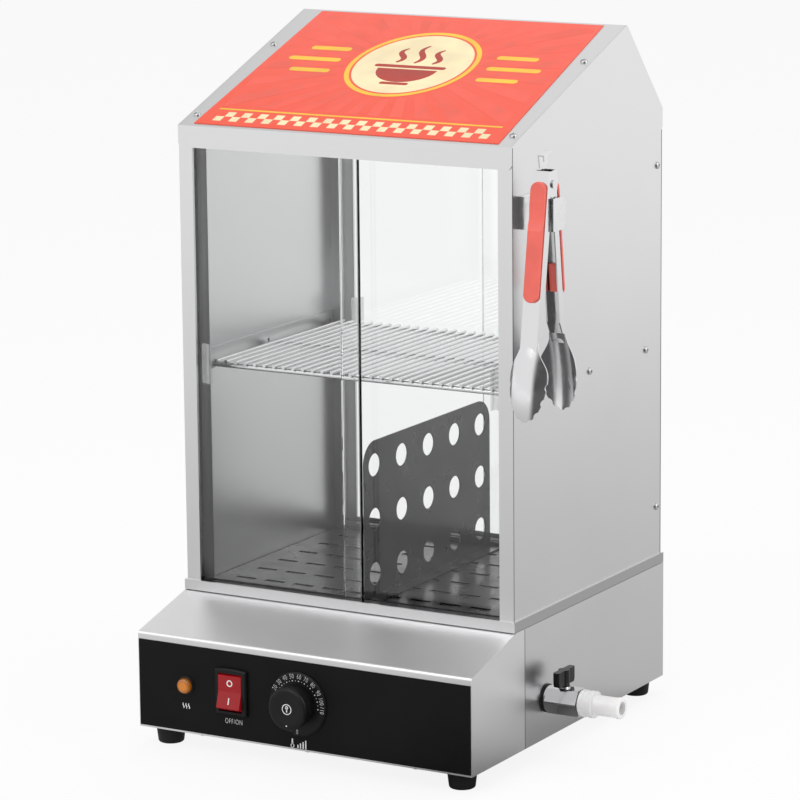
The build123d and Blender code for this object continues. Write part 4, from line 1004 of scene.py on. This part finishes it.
class STEAMER_OT_tongs(bpy.types.Operator):
    """Bright tongs with red grips, hanging on their steel holder"""
    bl_idname = "steamer.tongs"
    bl_label = "Tongs"

    def execute(self, context):
        coat(["tong_arm_front", "tong_arm_rear", "tong_pin", "tong_pull_tab"],
             bright_metal("tong_steel", shade(finish().bright, 0.9), 0.14))
        coat(["tong_holder"], bright_metal("holder_steel", shade(finish().bright, 0.92), 0.20))
        coat(["tong_grip_front", "tong_grip_rear"],
             moulded("grip_rubber", finish().grip, 0.46, 1500.0, 0.00004))
        return {"FINISHED"}


class STEAMER_OT_inner_works(bpy.types.Operator):
    """Heating element, thermostat and the other pieces inside the base"""
    bl_idname = "steamer.inner_works"
    bl_label = "Inner works"

    def execute(self, context):
        steel = shade(finish().steel, 0.85)
        coat(["heating_element"], brushed_sheet("element_sheath", shade(steel, 0.7), 0.36, "Y", 0.0009))
        coat(["thermostat_body", "thermostat_shaft"], brushed_sheet("works_steel", steel, 0.32, "Z", 0.0008))
        coat(["sensor_bulb"], bright_metal("drawn_copper", (0.72, 0.36, 0.22), 0.24))
        coat(["overheat_cutout", "cord_gland"], moulded("dark_plastic", (0.028, 0.028, 0.030), 0.45))
        coat(["terminal_block"], moulded("terminal_plastic", shade(finish().nylon, 0.9), 0.45))
        return {"FINISHED"}


# ---- stage ----
# brightness of the floor's glow in a reflection, a painted shadow that darkens it near the steamer: (distance
# from the middle as a share of FLOOR_SPAN, level)
MIRRORED_FLOOR_PAINTED_SHADOW = ((0.046, 0.22), (0.056, 0.52), (0.25, 0.60), (0.5, 0.80), (0.62, 0.92), (1.0, 1.0))
FLOOR_SPAN, FLOOR_GAIN, FLOOR_REACH = 4.0, 1.12, 30.0

# darker sides of the room in a reflection: direction, cosines to it at which the light starts to fall
# and has fallen, and the level left there
DARK_SIDE = ((0.6, -0.8, 0.0), 0.80, 0.93, 0.10)
DIM_SIDE = ((-0.75, 0.25, 0.61), 0.90, 0.97, 0.45)


def seen_directly(graph):
    """One where a ray comes from the camera, a reflection or through glass."""
    path = graph.node("ShaderNodeLightPath")
    total = path.outputs["Is Camera Ray"]
    for kind in ("Is Glossy Ray", "Is Transmission Ray"):
        total = graph.maths("MAXIMUM", total, path.outputs[kind])
    return total


def mirrored_only(graph):
    """One for a ray that a surface has mirrored, and nothing for one that only came through glass."""
    path = graph.node("ShaderNodeLightPath")
    return graph.maths("MINIMUM", path.outputs["Is Glossy Ray"], path.outputs["Glossy Depth"])


def dimmed(graph, heading, side):
    """How bright the studio is in a reflection: it falls off towards one side of the room."""
    direction, edge, middle, darkest = side
    return graph.between(graph.vector("DOT_PRODUCT", "Value", heading, direction), 1.0, darkest, edge, middle)


def area_light(name, place, width, height, power, mirrored=True):
    """A rectangular lamp turned to the middle of the steamer."""
    lamp = bpy.data.lights.new(name, "AREA")
    lamp.shape = "RECTANGLE"
    lamp.size, lamp.size_y = width, height
    lamp.energy = power
    holder = add_object(name, lamp)
    holder.location = place
    middle = (CAD_BOX[0] + CAD_BOX[1]) / 2
    holder.rotation_euler = (middle - Vector(place)).to_track_quat("-Z", "Y").to_euler()
    holder.visible_glossy = mirrored


class STEAMER_OT_stage(bpy.types.Operator):
    """Pale floor, soft studio light and the camera"""
    bl_idname = "steamer.stage"
    bl_label = "Stage"

    def execute(self, context):
        stage = context.scene.steamer_stage
        self.make_floor(stage)
        self.make_world(context.scene, stage)
        area_light("key_light", (-0.6, -2.7, 2.7), 2.2, 1.8, stage.key_power)
        area_light("fill_light", (2.4, 0.2, 1.5), 1.4, 1.8, stage.fill_power)
        area_light("top_light", (0.0, 0.4, 2.6), 1.6, 1.6, stage.fill_power, mirrored=False)
        self.make_camera(context.scene, stage)
        context.scene.view_settings.view_transform = "Standard"
        return {"FINISHED"}

    def make_floor(self, stage):
        mesh = bpy.data.meshes.new("floor")
        corners = [(x * FLOOR_REACH, y * FLOOR_REACH, 0) for x, y in ((-1, -1), (1, -1), (1, 1), (-1, 1))]
        mesh.from_pydata(corners, [], [(0, 1, 2, 3)])
        floor = add_object("floor", mesh)
        mesh.materials.append(self.floor_paint(stage))

    def floor_paint(self, stage):
        """Plain white where the camera sees it, mixed with a surface that takes the steamer's shadow; in a
        reflection its glow carries painted shadow.
        """
        recipe = Recipe("floor", stage.floor, 0.7)
        away = recipe.between(recipe.vector("LENGTH", "Value", recipe.space), 0.0, 1.0, 0.0, FLOOR_SPAN)
        ramp = recipe.node("ShaderNodeValToRGB", {"Fac": away})
        stops = ramp.color_ramp.elements
        for place, _ in MIRRORED_FLOOR_PAINTED_SHADOW[2:]:
            stops.new(place)
        for stop, (place, level) in zip(stops, MIRRORED_FLOOR_PAINTED_SHADOW):
            stop.position = place
            stop.color = (level, level, level, 1.0)
        ahead = recipe.vector("NORMALIZE", "Vector", recipe.space)
        # painted shadow and painted shade: in a reflection the floor glows darker near the steamer and
        # towards one side of the room
        mirrored = recipe.maths("MULTIPLY", recipe.maths("MULTIPLY", ramp.outputs["Color"], FLOOR_GAIN),
                                dimmed(recipe, ahead, DARK_SIDE))
        strength = recipe.between(mirrored_only(recipe), 1.0, mirrored, 0.0, 1.0)
        glow = recipe.node("ShaderNodeEmission", {"Color": (1, 1, 1, 1), "Strength": strength})
        camera_ray = recipe.node("ShaderNodeLightPath").outputs["Is Camera Ray"]
        share = recipe.maths("MULTIPLY", seen_directly(recipe),
                             recipe.between(camera_ray, 0.95, stage.floor_glow, 0.0, 1.0))
        mix = recipe.node("ShaderNodeMixShader", {0: share, 1: recipe.shader.outputs[0], 2: glow.outputs[0]})
        recipe.link(mix.outputs[0], recipe.nodes["Material Output"].inputs["Surface"])
        return recipe.material

    def make_world(self, scene, stage):
        world = bpy.data.worlds.new("studio")
        world.use_nodes = True
        scene.world = world
        graph = Graph(world.node_tree)
        background = graph.nodes["Background"]
        background.inputs["Color"].default_value = (1, 1, 1, 1)
        level = graph.between(seen_directly(graph), stage.world_light, 1.0, 0.0, 1.0)
        heading = graph.node("ShaderNodeTexCoord").outputs["Generated"]
        sides = graph.maths("MULTIPLY", dimmed(graph, heading, DARK_SIDE), dimmed(graph, heading, DIM_SIDE))
        mirrored = graph.between(mirrored_only(graph), 1.0, sides, 0.0, 1.0)
        graph.link(graph.maths("MULTIPLY", level, mirrored), background.inputs["Strength"])

    def make_camera(self, scene, stage):
        turn, drop, roll = stage.camera_turn, stage.camera_drop, stage.camera_roll
        back = Vector((math.sin(turn) * math.cos(drop), -math.cos(turn) * math.cos(drop), math.sin(drop)))
        right = (-back).cross(Vector((0, 0, 1))).normalized()
        up = right.cross(-back)
        rolled_right = right * math.cos(roll) + up * math.sin(roll)
        rolled_up = up * math.cos(roll) - right * math.sin(roll)
        matrix = Matrix((rolled_right, rolled_up, back)).transposed().to_4x4()
        matrix.translation = Vector(stage.camera_place)
        camera = bpy.data.cameras.new("camera")
        camera.lens = stage.lens
        camera.sensor_width = 36.0
        camera.clip_end = 100.0
        holder = add_object("camera", camera)
        holder.matrix_world = matrix
        scene.camera = holder


class STEAMER_PT_pieces(bpy.types.Panel):
    """The steamer's pieces, in the order in which they are made"""
    bl_idname = "STEAMER_PT_pieces"
    bl_label = "Steamer"
    bl_space_type = "VIEW_3D"
    bl_region_type = "UI"
    bl_category = "Steamer"

    def draw(self, context):
        for operator in OPERATORS:
            self.layout.operator(operator.bl_idname)
        for name in GROUPS:
            box, group = self.layout.box(), getattr(context.scene, name)
            for setting in group.bl_rna.properties.keys():
                if setting not in {"rna_type", "name"}:
                    box.prop(group, setting)


OPERATORS = (STEAMER_OT_sheet_metal, STEAMER_OT_sign, STEAMER_OT_doors, STEAMER_OT_controls,
             STEAMER_OT_screws, STEAMER_OT_feet, STEAMER_OT_drain, STEAMER_OT_tray_and_rack, STEAMER_OT_tongs,
             STEAMER_OT_inner_works, STEAMER_OT_stage)
GROUPS = {"steamer_finish": SteamerFinish, "steamer_detail": SteamerDetail, "steamer_stage": SteamerStage}
CLASSES = (*GROUPS.values(), *OPERATORS, STEAMER_PT_pieces)


def register():
    for each in CLASSES:
        bpy.utils.register_class(each)
    for name, group in GROUPS.items():
        setattr(bpy.types.Scene, name, PointerProperty(type=group))


def unregister():
    for name in GROUPS:
        delattr(bpy.types.Scene, name)
    for each in reversed(CLASSES):
        bpy.utils.unregister_class(each)


def main():
    register()
    bpy.ops.steamer.sheet_metal()
    bpy.ops.steamer.sign()
    bpy.ops.steamer.doors()
    bpy.ops.steamer.controls()
    bpy.ops.steamer.screws()
    bpy.ops.steamer.feet()
    bpy.ops.steamer.drain()
    bpy.ops.steamer.tray_and_rack()
    bpy.ops.steamer.tongs()
    bpy.ops.steamer.inner_works()
    bpy.ops.steamer.stage()


if __name__ == "__main__":
    main()
